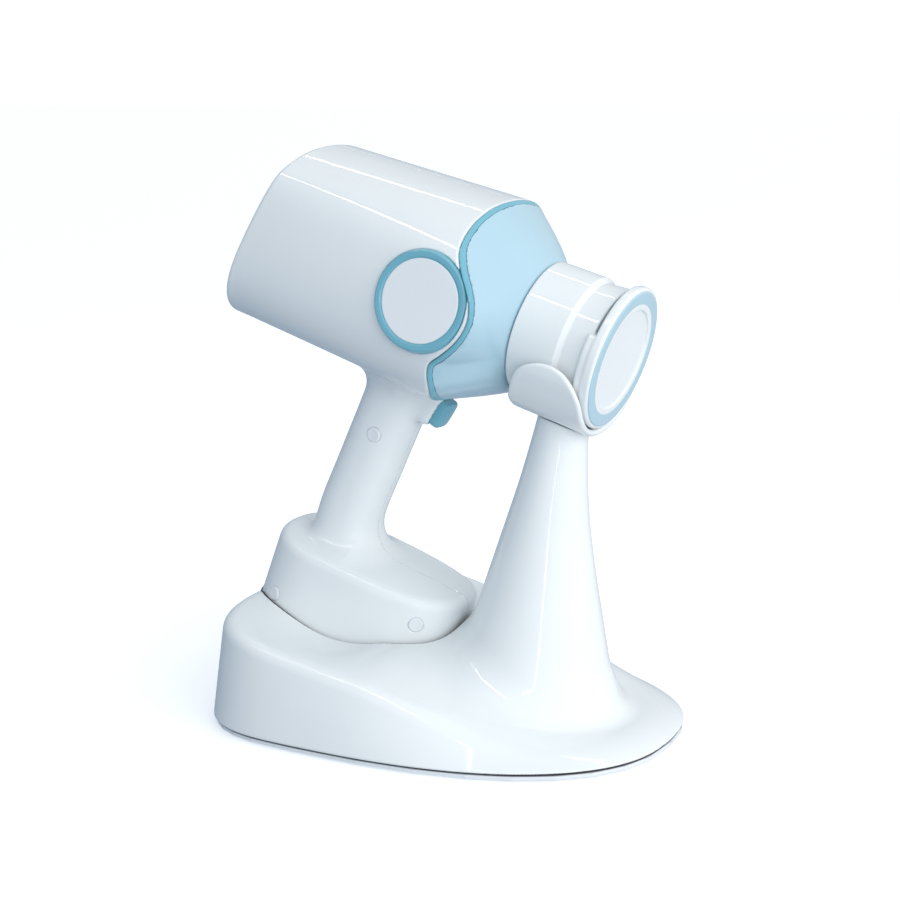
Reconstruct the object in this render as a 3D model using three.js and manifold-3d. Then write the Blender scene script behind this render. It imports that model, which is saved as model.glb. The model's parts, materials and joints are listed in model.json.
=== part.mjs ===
// Handheld dental X-ray unit docked on its desk stand, as an assembly of separate pieces.
// Millimetres, +Z up, +X forward (the side that the beam leaves from), symmetric about Y = 0.
// The handset is modelled in its own tilted frame: x along the beam, z up the handset,
// with its origin at the centre of the cone's front face.
import * as THREE from "three";
import { mergeVertices } from "three/addons/utils/BufferGeometryUtils.js";
import Module from "manifold-3d";

const wasm = await Module();
wasm.setup();

// ---------------------------------------------------------------- driving dimensions
const GAP = 0.3; // left between pieces that touch
const WALL = 2.6; // moulded shells
const ORIGIN_SHIFT = -6.07; // brings the middle of the whole footprint to X = 0

// Dock: where the handset sits over the stand
const DOCK_PITCH = THREE.MathUtils.degToRad(16.6); // nose down
const DOCK_ORIGIN = new THREE.Vector3(97.8, 0, 199.4); // centre of the cone's front face

// Head, as half outlines (side, height) from the top centre line round to the bottom one
const HEAD_REAR_OUTLINE = [
  [0, 51], [14.5, 50], [27, 47], [37, 42], [45, 35], [49.5, 18],
  [51.5, -5], [50, -21], [45, -33], [36, -42.5], [23, -48], [0, -49.5],
];
const HEAD_FRONT_OUTLINE = [
  [0, 57], [15, 56], [28, 53], [43, 44.5], [55, 31], [59.5, 15],
  [61, -5], [58.5, -23], [52, -36.5], [41, -45], [25, -49.5], [0, -50.5],
];
const HEAD_REAR = -201;
const HEAD_FRONT = -76;
const REAR_SLOPE = 0.22; // the rear face leans forward towards its top
const REAR_OPENING = 0.86; // share of the rear outline that the rear cover fills

// Nose cover, between the head and the cone
const NOSE_END = -48;
const CONE_RADIUS = 35;
const TRIM_WIDTH = 3.2;
// Front edge of the housing seen from the side (along the beam, height): a lobe above and
// below, and an arc round the side badge between them
const NOSE_EDGE = [
  [-86, -70], [-85, -56], [-79, -47], [-75.5, -38], [-76, -28], [-75, -22], [-70.5, -16.5],
  [-65, -9], [-61.5, -1.5], [-60.5, 6], [-62.5, 13], [-66.5, 19], [-71.5, 25], [-75.4, 30],
  [-78.4, 35], [-80, 41], [-80.4, 48], [-79.6, 55], [-78.6, 70],
];

// Cone: collar, neck, end cap, face ring and window
const COLLAR_FRONT = -20;
const NECK_RADIUS = 33.2;
const CAP_RADIUS = 37.6;
const CAP_THICKNESS = 5.2;
const CAP_GRIP_THICKNESS = 9.2;
const CAP_GRIP_HALF_HEIGHT = 16;
const WINDOW_RADIUS = 27.8;
const FACE_RING_RADIUS = 35.2;

// Side badges
const BADGE_CENTRE = new THREE.Vector3(-88, 59.6, 6);
const BADGE_LEAN = THREE.MathUtils.degToRad(8);
const BADGE_RADIUS = 25.1;
const BADGE_INNER_RADIUS = 20.9;

// Handle: [height, centre along the beam, half length, half width]
const HANDLE_SECTIONS = [
  [-42, -112.5, 34, 31], [-49, -113, 28.5, 26], [-53, -113.6, 24.5, 22], [-58, -114.4, 20.8, 18.8],
  [-64, -115.3, 18.5, 17.1], [-72, -116.5, 17.6, 16.6], [-90, -119, 17.5, 16.5],
  [-108, -121.5, 17.5, 16.5], [-132, -124.8, 17.6, 16.6], [-140, -125.1, 18.9, 17.7],
  [-146, -124.7, 21.8, 20.2], [-150, -124, 26, 24], [-156, -123, 34, 30],
];

// Battery block at the handle's foot
const BLOCK = { widest: -118, halfWidth: 37.5, front: 77.5, frontPower: 2.8, rear: 42.6, rearPower: 2.6 };
const BLOCK_STEPS = 30;
const BLOCK_BOTTOM = -197;
const BLOCK_SECTIONS = [
  // [height, drawn in all round]
  [BLOCK_BOTTOM, 1], [-195.5, 0], [-168, 1.8], [-160, 2.6], [-157.4, 4.4], [-156, 8], [-154.4, 17],
];

// Trigger
const TRIGGER_TILT = THREE.MathUtils.degToRad(16);
const TRIGGER_SEAT = new THREE.Vector3(-88.2, 0, -63.4); // middle of the face it stands out of
const TRIGGER_HEIGHT = 15.5;
const TRIGGER_WIDTH = 13.5;
const TRIGGER_REACH = 5.6;

// Screws and their covers, on the right-hand side: [along the beam, height, turn]
const PLUG_SPOTS = {
  handle: [-116, -85, 0],
  block_rear: [-142, -188, 22],
  block_front: [-57.6, -170, -30],
};
const PLUG_RADIUS = 3.5;

// Stand base
const BASE = { widest: -40, halfWidth: 100, front: 170, frontPower: 2.42, rear: 75, rearPower: 3.2 };
const BASE_FOOT = 3.9; // the shell's lower edge above the desk
const BASE_STEPS = 36;

// Stand post: [height, centre X, half length, half width]
const POST_SECTIONS = [
  [12, 46, 54, 48], [20, 46, 53, 47], [28, 46, 49.5, 44], [36, 47.5, 44.5, 40.5],
  [46, 49.8, 40, 37], [56, 51.7, 36, 34], [66, 53.2, 32.8, 31.5], [80, 54.5, 29.3, 28],
  [96, 56, 25.5, 24.5], [114, 58, 21.5, 21], [132, 60.5, 18, 18], [152, 63.4, 15, 15], [172, 67, 13.2, 13.2],
];

// Saddle that carries the cone
const SADDLE_INNER = 38.4;
const SADDLE_OUTER = 42;
const SADDLE_HALF_WIDTH = 41;
const SADDLE_OUTLINE = [
  [-41, -46], [-44.4, -40], [-44, -33], [-42.2, -26], [-39.6, -17], [-35.6, -11], [-29, -6.8], [-22, -5.2],
  [-16, -5.8], [-11, -8], [-6.6, -12], [-3.2, -17], [-1.2, -22.5], [-0.4, -30], [-0.4, -46],
];

// Charging contacts between the stand and the block
const CONTACT_SPACING = 18;
const CONTACT_AT = -104;
const PIN_RADIUS = 1.6;

// ---------------------------------------------------------------- small helpers
const V = (x, y, z) => new THREE.Vector3(x, y, z);
const shift = (x, y, z) => new THREE.Matrix4().makeTranslation(x, y, z);
const mix = (a, b, t) => a + (b - a) * t;
const clamp01 = (t) => Math.min(1, Math.max(0, t));

// A closed geometry as a solid for cutting and joining.
function solidOf(geometry, matrix = new THREE.Matrix4()) {
  const bare = geometry.clone().applyMatrix4(matrix);
  bare.deleteAttribute("normal");
  bare.deleteAttribute("uv");
  const merged = mergeVertices(bare, 1e-4);
  return new wasm.Manifold(
    new wasm.Mesh({
      numProp: 3,
      vertProperties: new Float32Array(merged.attributes.position.array),
      triVerts: new Uint32Array(merged.index.array),
    }),
  );
}

function geometryOf(solid) {
  const mesh = solid.getMesh();
  const geometry = new THREE.BufferGeometry();
  geometry.setAttribute("position", new THREE.BufferAttribute(mesh.vertProperties, 3));
  geometry.setIndex(new THREE.BufferAttribute(mesh.triVerts, 1));
  return geometry;
}

// A closed skin over rings of equally many points, each ring turning anticlockwise when
// seen from the last ring, with a fan over each end.
function loft(rings) {
  const count = rings[0].length;
  const points = rings.flat();
  const triangles = [];
  const centreOf = (ring) =>
    ring.reduce((sum, p) => sum.add(p), V(0, 0, 0)).divideScalar(ring.length);
  for (let i = 0; i + 1 < rings.length; i++) {
    for (let j = 0; j < count; j++) {
      const a = i * count + j;
      const b = i * count + ((j + 1) % count);
      triangles.push(a, b, b + count, a, b + count, a + count);
    }
  }
  const first = points.push(centreOf(rings[0])) - 1;
  const last = points.push(centreOf(rings[rings.length - 1])) - 1;
  const top = (rings.length - 1) * count;
  for (let j = 0; j < count; j++) {
    const next = (j + 1) % count;
    triangles.push(first, next, j, last, top + j, top + next);
  }
  const geometry = new THREE.BufferGeometry().setFromPoints(points);
  geometry.setIndex(triangles);
  return solidOf(geometry);
}

// Points of a superellipse, anticlockwise from +x.
function superellipse(a, b, power, steps) {
  const points = [];
  for (let i = 0; i < steps; i++) {
    const angle = (i / steps) * 2 * Math.PI;
    const c = Math.cos(angle);
    const s = Math.sin(angle);
    const x = a * Math.sign(c) * Math.abs(c) ** (2 / power);
    const y = b * Math.sign(s) * Math.abs(s) ** (2 / power);
    points.push([x, y]);
  }
  return points;
}

// Points of an egg: two half superellipses that meet at its widest place, anticlockwise from
// the front tip.
function egg({ widest, halfWidth, front, frontPower, rear, rearPower }, drawn, steps) {
  const points = [];
  for (let i = 0; i < steps; i++) {
    const angle = (i / steps) * 2 * Math.PI;
    const c = Math.cos(angle);
    const s = Math.sin(angle);
    const power = c >= 0 ? frontPower : rearPower;
    const reach = (c >= 0 ? front : rear) - drawn;
    const x = widest + reach * Math.sign(c) * Math.abs(c) ** (2 / power);
    const y = (halfWidth - drawn) * Math.sign(s) * Math.abs(s) ** (2 / power);
    points.push([x, y]);
  }
  return points;
}

// A turned piece about the local z axis, from a closed profile of [radius, z].
function turned(profile, steps = 24, matrix = new THREE.Matrix4()) {
  const points = profile.map(([r, z]) => new THREE.Vector2(r, z));
  const upright = new THREE.Matrix4().makeRotationX(Math.PI / 2);
  return solidOf(new THREE.LatheGeometry(points, steps), matrix.clone().multiply(upright));
}

// A round bar about the local z axis, from one height to another.
const bar = (radius, from, to, steps = 24, matrix) =>
  turned([[0, from], [radius, from], [radius, to], [0, to]], steps, matrix);

// A round ring about the local z axis.
const ringBar = (inner, outer, from, to, steps = 24, matrix) =>
  turned([[inner, from], [outer, from], [outer, to], [inner, to], [inner, from]], steps, matrix);

const boxAt = (sizeX, sizeY, sizeZ, matrix) =>
  solidOf(new THREE.BoxGeometry(sizeX, sizeY, sizeZ), matrix);

// A flat outline of [x, y] pushed out along the local z axis.
function slab(outline, from, to, matrix = new THREE.Matrix4()) {
  const shape = new THREE.Shape(outline.map(([x, y]) => new THREE.Vector2(x, y)));
  const geometry = new THREE.ExtrudeGeometry(shape, { depth: to - from, bevelEnabled: false });
  return solidOf(geometry, matrix.clone().multiply(shift(0, 0, from)));
}

// An outline of [x, z] pushed right across, along Y.
function acrossSlab(outline, halfWidth) {
  const upright = new THREE.Matrix4().makeRotationX(Math.PI / 2);
  return slab(outline, -halfWidth, halfWidth, upright);
}

function plastic(color, roughness = 0.22) {
  return new THREE.MeshStandardMaterial({ color, roughness, metalness: 0 });
}
function metal(color, roughness = 0.3) {
  return new THREE.MeshStandardMaterial({ color, roughness, metalness: 1 });
}
const WHITE = plastic(0xeef3f7);
const PALE = plastic(0xe3e9ee, 0.35);
const LIGHT_BLUE = plastic(0xaedbe9);
const MID_BLUE = plastic(0x5fb2ce);
const DARK = plastic(0x2a2b30, 0.6);
const RUBBER = plastic(0x35363a, 0.8);
const GLASS = plastic(0x10151c, 0.08);
const BOARD = plastic(0x1f6b3a, 0.5);
const STEEL = metal(0xb9bcc0);
const LEAD = metal(0x6f747a, 0.5);
const GOLD = metal(0xd9b15a, 0.25);

function add(group, name, solid, material) {
  const mesh = new THREE.Mesh(geometryOf(solid), material);
  mesh.name = name;
  group.add(mesh);
}

// ---------------------------------------------------------------- groups
const unit = new THREE.Group();
unit.position.x = ORIGIN_SHIFT;
const docked = new THREE.Group(); // everything that is square to the docked handset
docked.position.copy(DOCK_ORIGIN);
docked.rotation.y = DOCK_PITCH;
unit.add(docked);

// A cone piece turns about the beam: this lays the local z axis along +x.
const alongBeam = new THREE.Matrix4().makeRotationY(Math.PI / 2);
const BIG = 400;
const frontOf = (x) => boxAt(BIG, BIG, BIG, shift(x + BIG / 2, 0, 0));
const rightHalf = boxAt(BIG * 2, BIG, BIG * 2, shift(0, -BIG / 2 - GAP / 2, 0));
const leftHalf = boxAt(BIG * 2, BIG, BIG * 2, shift(0, BIG / 2 + GAP / 2, 0));

// ---------------------------------------------------------------- head
// A half outline carried on round the other side, anticlockwise seen from the front.
function wholeOutline(half) {
  const mirrored = half.slice(1, -1).reverse().map(([y, z]) => [-y, z]);
  return [...half, ...mirrored].reverse();
}
const REAR_POINTS = wholeOutline(HEAD_REAR_OUTLINE);
const FRONT_POINTS = wholeOutline(HEAD_FRONT_OUTLINE);

// A point of the head's skin at a place along the beam, drawn in by an inset.
function headPoint(i, x, inset) {
  const t = clamp01((x - HEAD_REAR) / (HEAD_FRONT - HEAD_REAR));
  const y = mix(REAR_POINTS[i][0], FRONT_POINTS[i][0], t);
  const z = mix(REAR_POINTS[i][1], FRONT_POINTS[i][1], t);
  const scale = 1 - inset / Math.hypot(y, z);
  return V(x + REAR_SLOPE * (1 - t) * z * scale, y * scale, z * scale);
}

const headRing = (x, inset) => REAR_POINTS.map((_, i) => headPoint(i, x, inset));

function headSolid(inset, rear, front) {
  const edge = inset ? [] : [headRing(rear, 3.4), headRing(rear + 1, 1)];
  const middle = [rear + (inset ? 0 : 3.4), -150, HEAD_FRONT];
  const rings = middle.map((x) => headRing(x, inset));
  return loft([...edge, ...rings, headRing(front, inset)]);
}

// ---------------------------------------------------------------- nose
// Place along the beam of the housing's front edge at a height.
function edgeAt(z) {
  const next = NOSE_EDGE.findIndex(([, height]) => height >= z);
  const [x0, z0] = NOSE_EDGE[next - 1];
  const [x1, z1] = NOSE_EDGE[next];
  return mix(x0, x1, (z - z0) / (z1 - z0));
}

// The nose runs straight from the housing's front edge to the cone's round end.
function noseSolid(inset) {
  const radius = CONE_RADIUS - 2 - inset;
  const atEdge = FRONT_POINTS.map(([, z], i) => headPoint(i, edgeAt(z), inset));
  const behind = FRONT_POINTS.map(([, z], i) => headPoint(i, edgeAt(z) - 9, inset));
  const atCone = FRONT_POINTS.map(([y, z]) => {
    const away = Math.hypot(y, z);
    return V(NOSE_END, (y / away) * radius, (z / away) * radius);
  });
  const between = (share) => atEdge.map((p, i) => p.clone().lerp(atCone[i], share));
  return loft([behind, atEdge, between(0.5), atCone]);
}

// The region in front of the housing's front edge, moved forward by a distance.
function aheadOfEdge(forward) {
  const outline = NOSE_EDGE.map(([x, z]) => [x + forward, z]);
  return acrossSlab([...outline, [80, 70], [80, -70]], 90);
}

const edgeCut = aheadOfEdge(0);
const conePassage = bar(CONE_RADIUS - 6.5, -120, 10, 32, alongBeam);

// ---------------------------------------------------------------- housing halves
function handleRing([z, x, a, b], inset) {
  return superellipse(a - inset, b - inset, 2.4, 20).map(([u, v]) => V(x + u, v, z));
}

// A hollow keeps only every other section, because nothing shows inside it.
const everyOther = (sections, inset) => sections.filter((_, i) => inset === 0 || i % 2 === 0);

function handleSolid(inset) {
  const sections = everyOther([...HANDLE_SECTIONS].reverse(), inset);
  return loft(sections.map((section) => handleRing(section, inset)));
}

const blockRing = (z, inset) => egg(BLOCK, inset, BLOCK_STEPS).map(([x, y]) => V(x, y, z));

const blockOuter = loft(BLOCK_SECTIONS.map(([z, drawn]) => blockRing(z, drawn)));
const blockHollow = loft([
  blockRing(BLOCK_BOTTOM - 6, WALL),
  ...BLOCK_SECTIONS.slice(1).map(([z, drawn]) => blockRing(z - WALL, drawn + WALL)),
]);

// Local frame of the trigger: z out of the boss, y up along its face.
const triggerFrame = new THREE.Matrix4()
  .makeTranslation(TRIGGER_SEAT)
  .multiply(new THREE.Matrix4().makeRotationY(Math.PI / 2 + TRIGGER_TILT))
  .multiply(new THREE.Matrix4().makeRotationZ(Math.PI / 2));

function roundedRect(width, height, radius) {
  const x = width / 2 - radius;
  const y = height / 2 - radius;
  const corners = [[x, y, 0], [-x, y, 1], [-x, -y, 2], [x, -y, 3]];
  const outline = [];
  for (const [cx, cy, quarter] of corners) {
    for (let i = 0; i <= 3; i++) {
      const angle = (quarter + i / 3) * (Math.PI / 2);
      outline.push([cx + radius * Math.cos(angle), cy + radius * Math.sin(angle)]);
    }
  }
  return outline;
}

const triggerBoss = loft(
  [[-24, 0], [-3, 0], [0, -1.2]].map(([z, grow]) =>
    roundedRect(TRIGGER_WIDTH + 6 + grow, TRIGGER_HEIGHT + 5 + grow, 5).map(([x, y]) =>
      V(x, y, z).applyMatrix4(triggerFrame),
    ),
  ),
);
const triggerHole = slab(
  roundedRect(TRIGGER_WIDTH + 2 * GAP, TRIGGER_HEIGHT + 2 * GAP, 4),
  -40,
  4,
  triggerFrame,
);

const noseShell = noseSolid(0).subtract(noseSolid(WALL));

// Local frame of a side badge: z out of the head's side. side is -1 right, +1 left.
function badgeFrame(side) {
  const centre = V(BADGE_CENTRE.x, side * BADGE_CENTRE.y, BADGE_CENTRE.z);
  const turn = new THREE.Matrix4().makeRotationX(-side * (Math.PI / 2 - BADGE_LEAN));
  return new THREE.Matrix4().makeTranslation(centre).multiply(turn);
}

// Local frame of a screw cover: z out of the right-hand surface.
function plugFrame(name) {
  const [x, z, turn] = PLUG_SPOTS[name];
  const onHandle = name === "handle";
  const ahead = x > BLOCK.widest;
  const power = ahead ? BLOCK.frontPower : BLOCK.rearPower;
  const share = Math.abs(x - BLOCK.widest) / (ahead ? BLOCK.front : BLOCK.rear);
  const drawn = 1.8 * clamp01((z - BLOCK_BOTTOM) / 29);
  const depth = onHandle ? 16.5 : BLOCK.halfWidth * (1 - share ** power) ** (1 / power) - drawn;
  return shift(x, -depth, z)
    .multiply(new THREE.Matrix4().makeRotationZ(THREE.MathUtils.degToRad(-turn)))
    .multiply(new THREE.Matrix4().makeRotationX(Math.PI / 2));
}

const REAR_UP = V(REAR_SLOPE, 0, 1).normalize();
const REAR_OUT = V(-1, 0, REAR_SLOPE).normalize();
const rearFrame = new THREE.Matrix4()
  .makeBasis(V(0, -1, 0), REAR_UP, REAR_OUT)
  .setPosition(HEAD_REAR, 0, 0);

function rearOutline(scale) {
  const along = Math.hypot(1, REAR_SLOPE);
  return REAR_POINTS.map(([y, z]) => [y * scale, z * scale * along]);
}

function housingSolid() {
  const outer = headSolid(0, HEAD_REAR, -58)
    .add(handleSolid(0))
    .add(blockOuter)
    .add(triggerBoss);
  let hollow = headSolid(WALL, HEAD_REAR + WALL, -58)
    .add(handleSolid(WALL))
    .add(blockHollow);
  for (const side of [-1, 1]) {
    hollow = hollow.subtract(bar(BADGE_RADIUS + 3, -6.6, 20, 24, badgeFrame(side)));
  }
  let housing = outer
    .subtract(hollow)
    .subtract(slab(rearOutline(REAR_OPENING), -8, 8, rearFrame))
    .subtract(edgeCut)
    .subtract(triggerHole);
  for (const side of [-1, 1]) {
    housing = housing.subtract(bar(BADGE_RADIUS + GAP, -4, 20, 28, badgeFrame(side)));
  }
  for (const name of Object.keys(PLUG_SPOTS)) {
    const frame = plugFrame(name);
    const boss = bar(PLUG_RADIUS + 1.6, -9, -2, 10, frame);
    const wide = bar(PLUG_RADIUS + GAP, -4.5, 9, 12, frame);
    const narrow = bar(1.5 + GAP, -20, 9, 8, frame);
    housing = housing.add(boss).subtract(wide).subtract(narrow);
  }
  return housing;
}

// ---------------------------------------------------------------- handset pieces
const housing = housingSolid();
add(docked, "housing_right", housing.intersect(rightHalf), WHITE);
add(docked, "housing_left", housing.intersect(leftHalf), WHITE);

const trimBand = noseShell.intersect(aheadOfEdge(GAP)).subtract(aheadOfEdge(TRIM_WIDTH));
add(docked, "nose_trim", trimBand, MID_BLUE);
const noseCover = noseShell
  .intersect(aheadOfEdge(TRIM_WIDTH + GAP))
  .subtract(frontOf(NOSE_END - GAP))
  .subtract(conePassage);
add(docked, "nose_cover", noseCover, LIGHT_BLUE);

const collar = turned(
  [
    [NECK_RADIUS - 3, NOSE_END],
    [CONE_RADIUS, NOSE_END],
    [CONE_RADIUS, COLLAR_FRONT - 3],
    [NECK_RADIUS, COLLAR_FRONT],
    [NECK_RADIUS, -CAP_GRIP_THICKNESS - GAP],
    [NECK_RADIUS - 3, -CAP_GRIP_THICKNESS - GAP],
    [NECK_RADIUS - 3, NOSE_END],
  ],
  32,
  alongBeam,
);
add(docked, "cone_collar", collar, WHITE);

function capSolid() {
  const rim = turned(
    [
      [WINDOW_RADIUS - 3, -CAP_THICKNESS],
      [CAP_RADIUS - 1, -CAP_THICKNESS],
      [CAP_RADIUS, -CAP_THICKNESS + 1],
      [CAP_RADIUS, -1],
      [CAP_RADIUS - 1, 0],
      [FACE_RING_RADIUS + GAP, 0],
      [FACE_RING_RADIUS + GAP, -1.4],
      [WINDOW_RADIUS + 1.4, -1.4],
      [WINDOW_RADIUS + 1.4, -0.6],
      [WINDOW_RADIUS + GAP, -0.6],
      [WINDOW_RADIUS + GAP, -3.2],
      [WINDOW_RADIUS - 3, -3.2],
      [WINDOW_RADIUS - 3, -CAP_THICKNESS],
    ],
    36,
    alongBeam,
  );
  const grip = ringBar(NECK_RADIUS - 3, CAP_RADIUS - 0.4, -CAP_GRIP_THICKNESS, -3.4, 36, alongBeam);
  const band = boxAt(BIG, BIG, 2 * CAP_GRIP_HALF_HEIGHT, shift(0, 0, -1));
  return rim.add(grip.intersect(band));
}
add(docked, "cone_cap", capSolid(), WHITE);
const faceRing = ringBar(WINDOW_RADIUS + 1.7, FACE_RING_RADIUS, -1.1, -0.1, 36, alongBeam);
add(docked, "cone_face_ring", faceRing, LIGHT_BLUE);
add(docked, "exit_window", bar(WINDOW_RADIUS, -2.9, -1.7, 36, alongBeam), WHITE);

const badgeNames = { right: -1, left: 1 };
for (const [name, side] of Object.entries(badgeNames)) {
  const frame = badgeFrame(side);
  const badgeRing = turned(
    [
      [BADGE_INNER_RADIUS, -3.7],
      [BADGE_RADIUS, -3.7],
      [BADGE_RADIUS, 0.4],
      [BADGE_RADIUS - 1.1, 1.2],
      [BADGE_INNER_RADIUS + 1, 1.2],
      [BADGE_INNER_RADIUS, 0.3],
      [BADGE_INNER_RADIUS, -3.7],
    ],
    28,
    frame,
  );
  add(docked, `badge_ring_${name}`, badgeRing, MID_BLUE);
  add(docked, `badge_disc_${name}`, bar(BADGE_INNER_RADIUS - GAP, -3.7, 0, 28, frame), PALE);
}

for (const name of Object.keys(PLUG_SPOTS)) {
  const frame = plugFrame(name);
  add(docked, `screw_cover_${name}`, bar(PLUG_RADIUS, -1.6, -0.3, 12, frame), PALE);
  const head = bar(2.8, -4.2, -2, 8, frame);
  add(docked, `housing_screw_${name}`, head.add(bar(1.5, -12, -2, 8, frame)), STEEL);
}

const triggerOutline = roundedRect(TRIGGER_WIDTH, TRIGGER_HEIGHT, 4);
const triggerStations = [[-6, 0], [TRIGGER_REACH - 3, 0], [TRIGGER_REACH - 1, 2], [TRIGGER_REACH, 5]];
const triggerSolid = loft(
  triggerStations.map(([z, trim]) =>
    triggerOutline.map(([x, y]) => {
      const kx = 1 - trim / TRIGGER_WIDTH;
      const ky = 1 - trim / TRIGGER_HEIGHT;
      return V(x * kx, y * ky, z).applyMatrix4(triggerFrame);
    }),
  ),
);
add(docked, "trigger", triggerSolid, MID_BLUE);
add(docked, "trigger_switch", boxAt(10, 10, 7, triggerFrame.clone().multiply(shift(0, 0, -13.5))), DARK);

// Rear cover with its display and keys
const KEY_SPOTS = {
  minus: [-23, -17],
  mode: [0, -17],
  plus: [23, -17],
  tooth: [-13, -32],
  power: [13, -32],
};
const KEY_RADIUS = 5.6;
const DISPLAY = { x: 0, y: 15, width: 62, height: 42 };
const displayAt = rearFrame.clone().multiply(shift(DISPLAY.x, DISPLAY.y, 0));

function rearCoverSolid() {
  const scale = REAR_OPENING - GAP / 50;
  let cover = slab(rearOutline(scale), -3.4, -0.4, rearFrame);
  const pocket = roundedRect(DISPLAY.width + 2 * GAP, DISPLAY.height + 2 * GAP, 4);
  const through = roundedRect(DISPLAY.width - 6, DISPLAY.height - 6, 2);
  cover = cover.subtract(slab(pocket, -1.8, 3, displayAt));
  cover = cover.subtract(slab(through, -9, 3, displayAt));
  for (const [x, y] of Object.values(KEY_SPOTS)) {
    const frame = rearFrame.clone().multiply(shift(x, y, 0));
    cover = cover.subtract(bar(KEY_RADIUS + GAP, -9, 3, 16, frame));
  }
  return cover;
}
add(docked, "rear_cover", rearCoverSolid(), PALE);
const displayGlass = slab(roundedRect(DISPLAY.width, DISPLAY.height, 4), -1.5, -0.5, displayAt);
add(docked, "display_window", displayGlass, GLASS);
const lcd = slab(roundedRect(DISPLAY.width - 8, DISPLAY.height - 8, 1), -3.6, -1.9, displayAt);
add(docked, "display_panel", lcd, DARK);
for (const [name, [x, y]] of Object.entries(KEY_SPOTS)) {
  const frame = rearFrame.clone().multiply(shift(x, y, 0));
  const profile = [[0, -3.2], [KEY_RADIUS, -3.2], [KEY_RADIUS, 0.1], [KEY_RADIUS - 1, 0.9], [0, 1.1]];
  add(docked, `key_${name}`, turned(profile, 16, frame), name === "power" ? MID_BLUE : WHITE);
}
const keypadBoard = slab(rearOutline(0.74), -6.6, -5, rearFrame);
add(docked, "control_board", keypadBoard, BOARD);

// Generator: oil-filled tank, X-ray tube, collimator, driver board
const tank = turned(
  [[24, -146], [33, -142], [33, -66], [16, -66], [16, -72], [26, -72], [26, -138], [24, -138],
    [24, -146]],
  24,
  alongBeam,
).add(bar(25, -148, -144, 24, alongBeam));
add(docked, "generator_tank", tank, STEEL);
const xrayTube = turned(
  [[0, -136], [9, -136], [9, -122], [14, -116], [14, -96], [9, -90], [9, -80], [0, -80]],
  16,
  alongBeam,
);
add(docked, "xray_tube", xrayTube, GLASS);
const collimator = turned(
  [[9, -64], [28, -64], [28, -52], [26, -50], [26, -10], [22, -10], [22, -50], [9, -60], [9, -64]],
  24,
  alongBeam,
);
add(docked, "collimator", collimator, LEAD);
add(docked, "beam_filter", bar(15.5, -71.5, -66.3, 24, alongBeam), STEEL);
add(docked, "driver_board", boxAt(66, 52, 1.6, shift(-116, 0, 40)), BOARD);

// Battery block contents and its bottom cover
add(docked, "battery_pack", boxAt(56, 38, 28, shift(-105, 0, -177)), MID_BLUE);
const coverRing = (z) => blockRing(z, WALL + GAP + 1);
const contactSpots = { front: CONTACT_AT + CONTACT_SPACING / 2, rear: CONTACT_AT - CONTACT_SPACING / 2 };
let blockCover = loft([coverRing(BLOCK_BOTTOM), coverRing(BLOCK_BOTTOM + 2.4)]);
for (const [name, x] of Object.entries(contactSpots)) {
  const at = shift(x, 0, BLOCK_BOTTOM);
  blockCover = blockCover.subtract(bar(4 + GAP, -2, 6, 12, at));
  add(docked, `charge_pad_${name}`, bar(4, 0, 2, 12, at), GOLD);
}
add(docked, "block_cover", blockCover, PALE);

// ---------------------------------------------------------------- stand
// Tables along X: the height of the base's rim, how far the wall leans in below it, and the height of the
// base's top along its middle, which is dished behind the post.
const RIM = [[-115, 60.5], [-84, 55.5], [-53, 49.5], [-20, 43], [0, 38.5], [30, 28], [58, 18.5], [90, 12], [130, 9.5]];
const LEAN = [[-115, 7], [-70, 7], [-40, 8], [0, 11], [58, 16], [90, 16], [130, 10]];
const MIDDLE = [[-115, 57], [-104, 53], [-72, 44.5], [-41, 41], [-18, 43], [4, 41], [60, 24], [95, 13], [130, 8]];
function along(table, x) {
  const next = Math.max(1, table.findIndex(([place]) => place >= x));
  const [x0, z0] = table[next - 1];
  const [x1, z1] = table[next];
  return mix(z0, z1, clamp01((x - x0) / (x1 - x0)));
}

// Outline of the base at its foot.
const BASE_POINTS = egg(BASE, 0, BASE_STEPS);
const baseOutline = (drawn) => egg(BASE, drawn, BASE_STEPS);

// Top surface: from the rim's height to the middle's.
function baseTop(x, share) {
  return mix(along(RIM, x), along(MIDDLE, x), THREE.MathUtils.smoothstep(1 - share, 0.12, 0.5));
}

// The base as rings from the foot up the wall and over the top to the middle.
function baseSolid(inset, foot) {
  const levels = [[0, 0], [0.5, 0], [0.82, 0.6], [0.94, 2.4], [0.99, 5]]; // share of height, rounding
  const shares = [0.78, 0.66, 0.52, 0.38, 0.22];
  const centre = -30;
  const rings = levels.map(([up, rounding]) => {
    return BASE_POINTS.map(([x, y]) => {
      const k = 1 - (along(LEAN, x) * up + rounding + inset) / Math.hypot(x, y);
      const top = along(RIM, x) - inset;
      return V(x * k, y * k, mix(foot, top, up));
    });
  });
  for (const share of shares) {
    const ring = BASE_POINTS.map(([x, y]) => {
      const px = mix(centre, x, share * (1 - inset / 100));
      const py = y * share * (1 - inset / 100);
      return V(px, py, Math.max(foot + 2, baseTop(px, share) - inset));
    });
    rings.push(ring);
  }
  return loft(rings);
}

function postSolid(inset, top) {
  const sections = everyOther(POST_SECTIONS.filter(([z]) => z <= top), inset);
  return loft(
    sections.map(([z, x, a, b]) =>
      superellipse(a - inset, b - inset, 2.1, 20).map(([u, v]) => V(x + u, v, z)),
    ),
  );
}

const dockMatrix = new THREE.Matrix4().makeTranslation(DOCK_ORIGIN).multiply(
  new THREE.Matrix4().makeRotationY(DOCK_PITCH),
);
const inDock = (matrix) => dockMatrix.clone().multiply(matrix);

function blockSlot(grow, bottom) {
  return slab(egg(BLOCK, -grow, BLOCK_STEPS), bottom, -100, dockMatrix);
}

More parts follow.
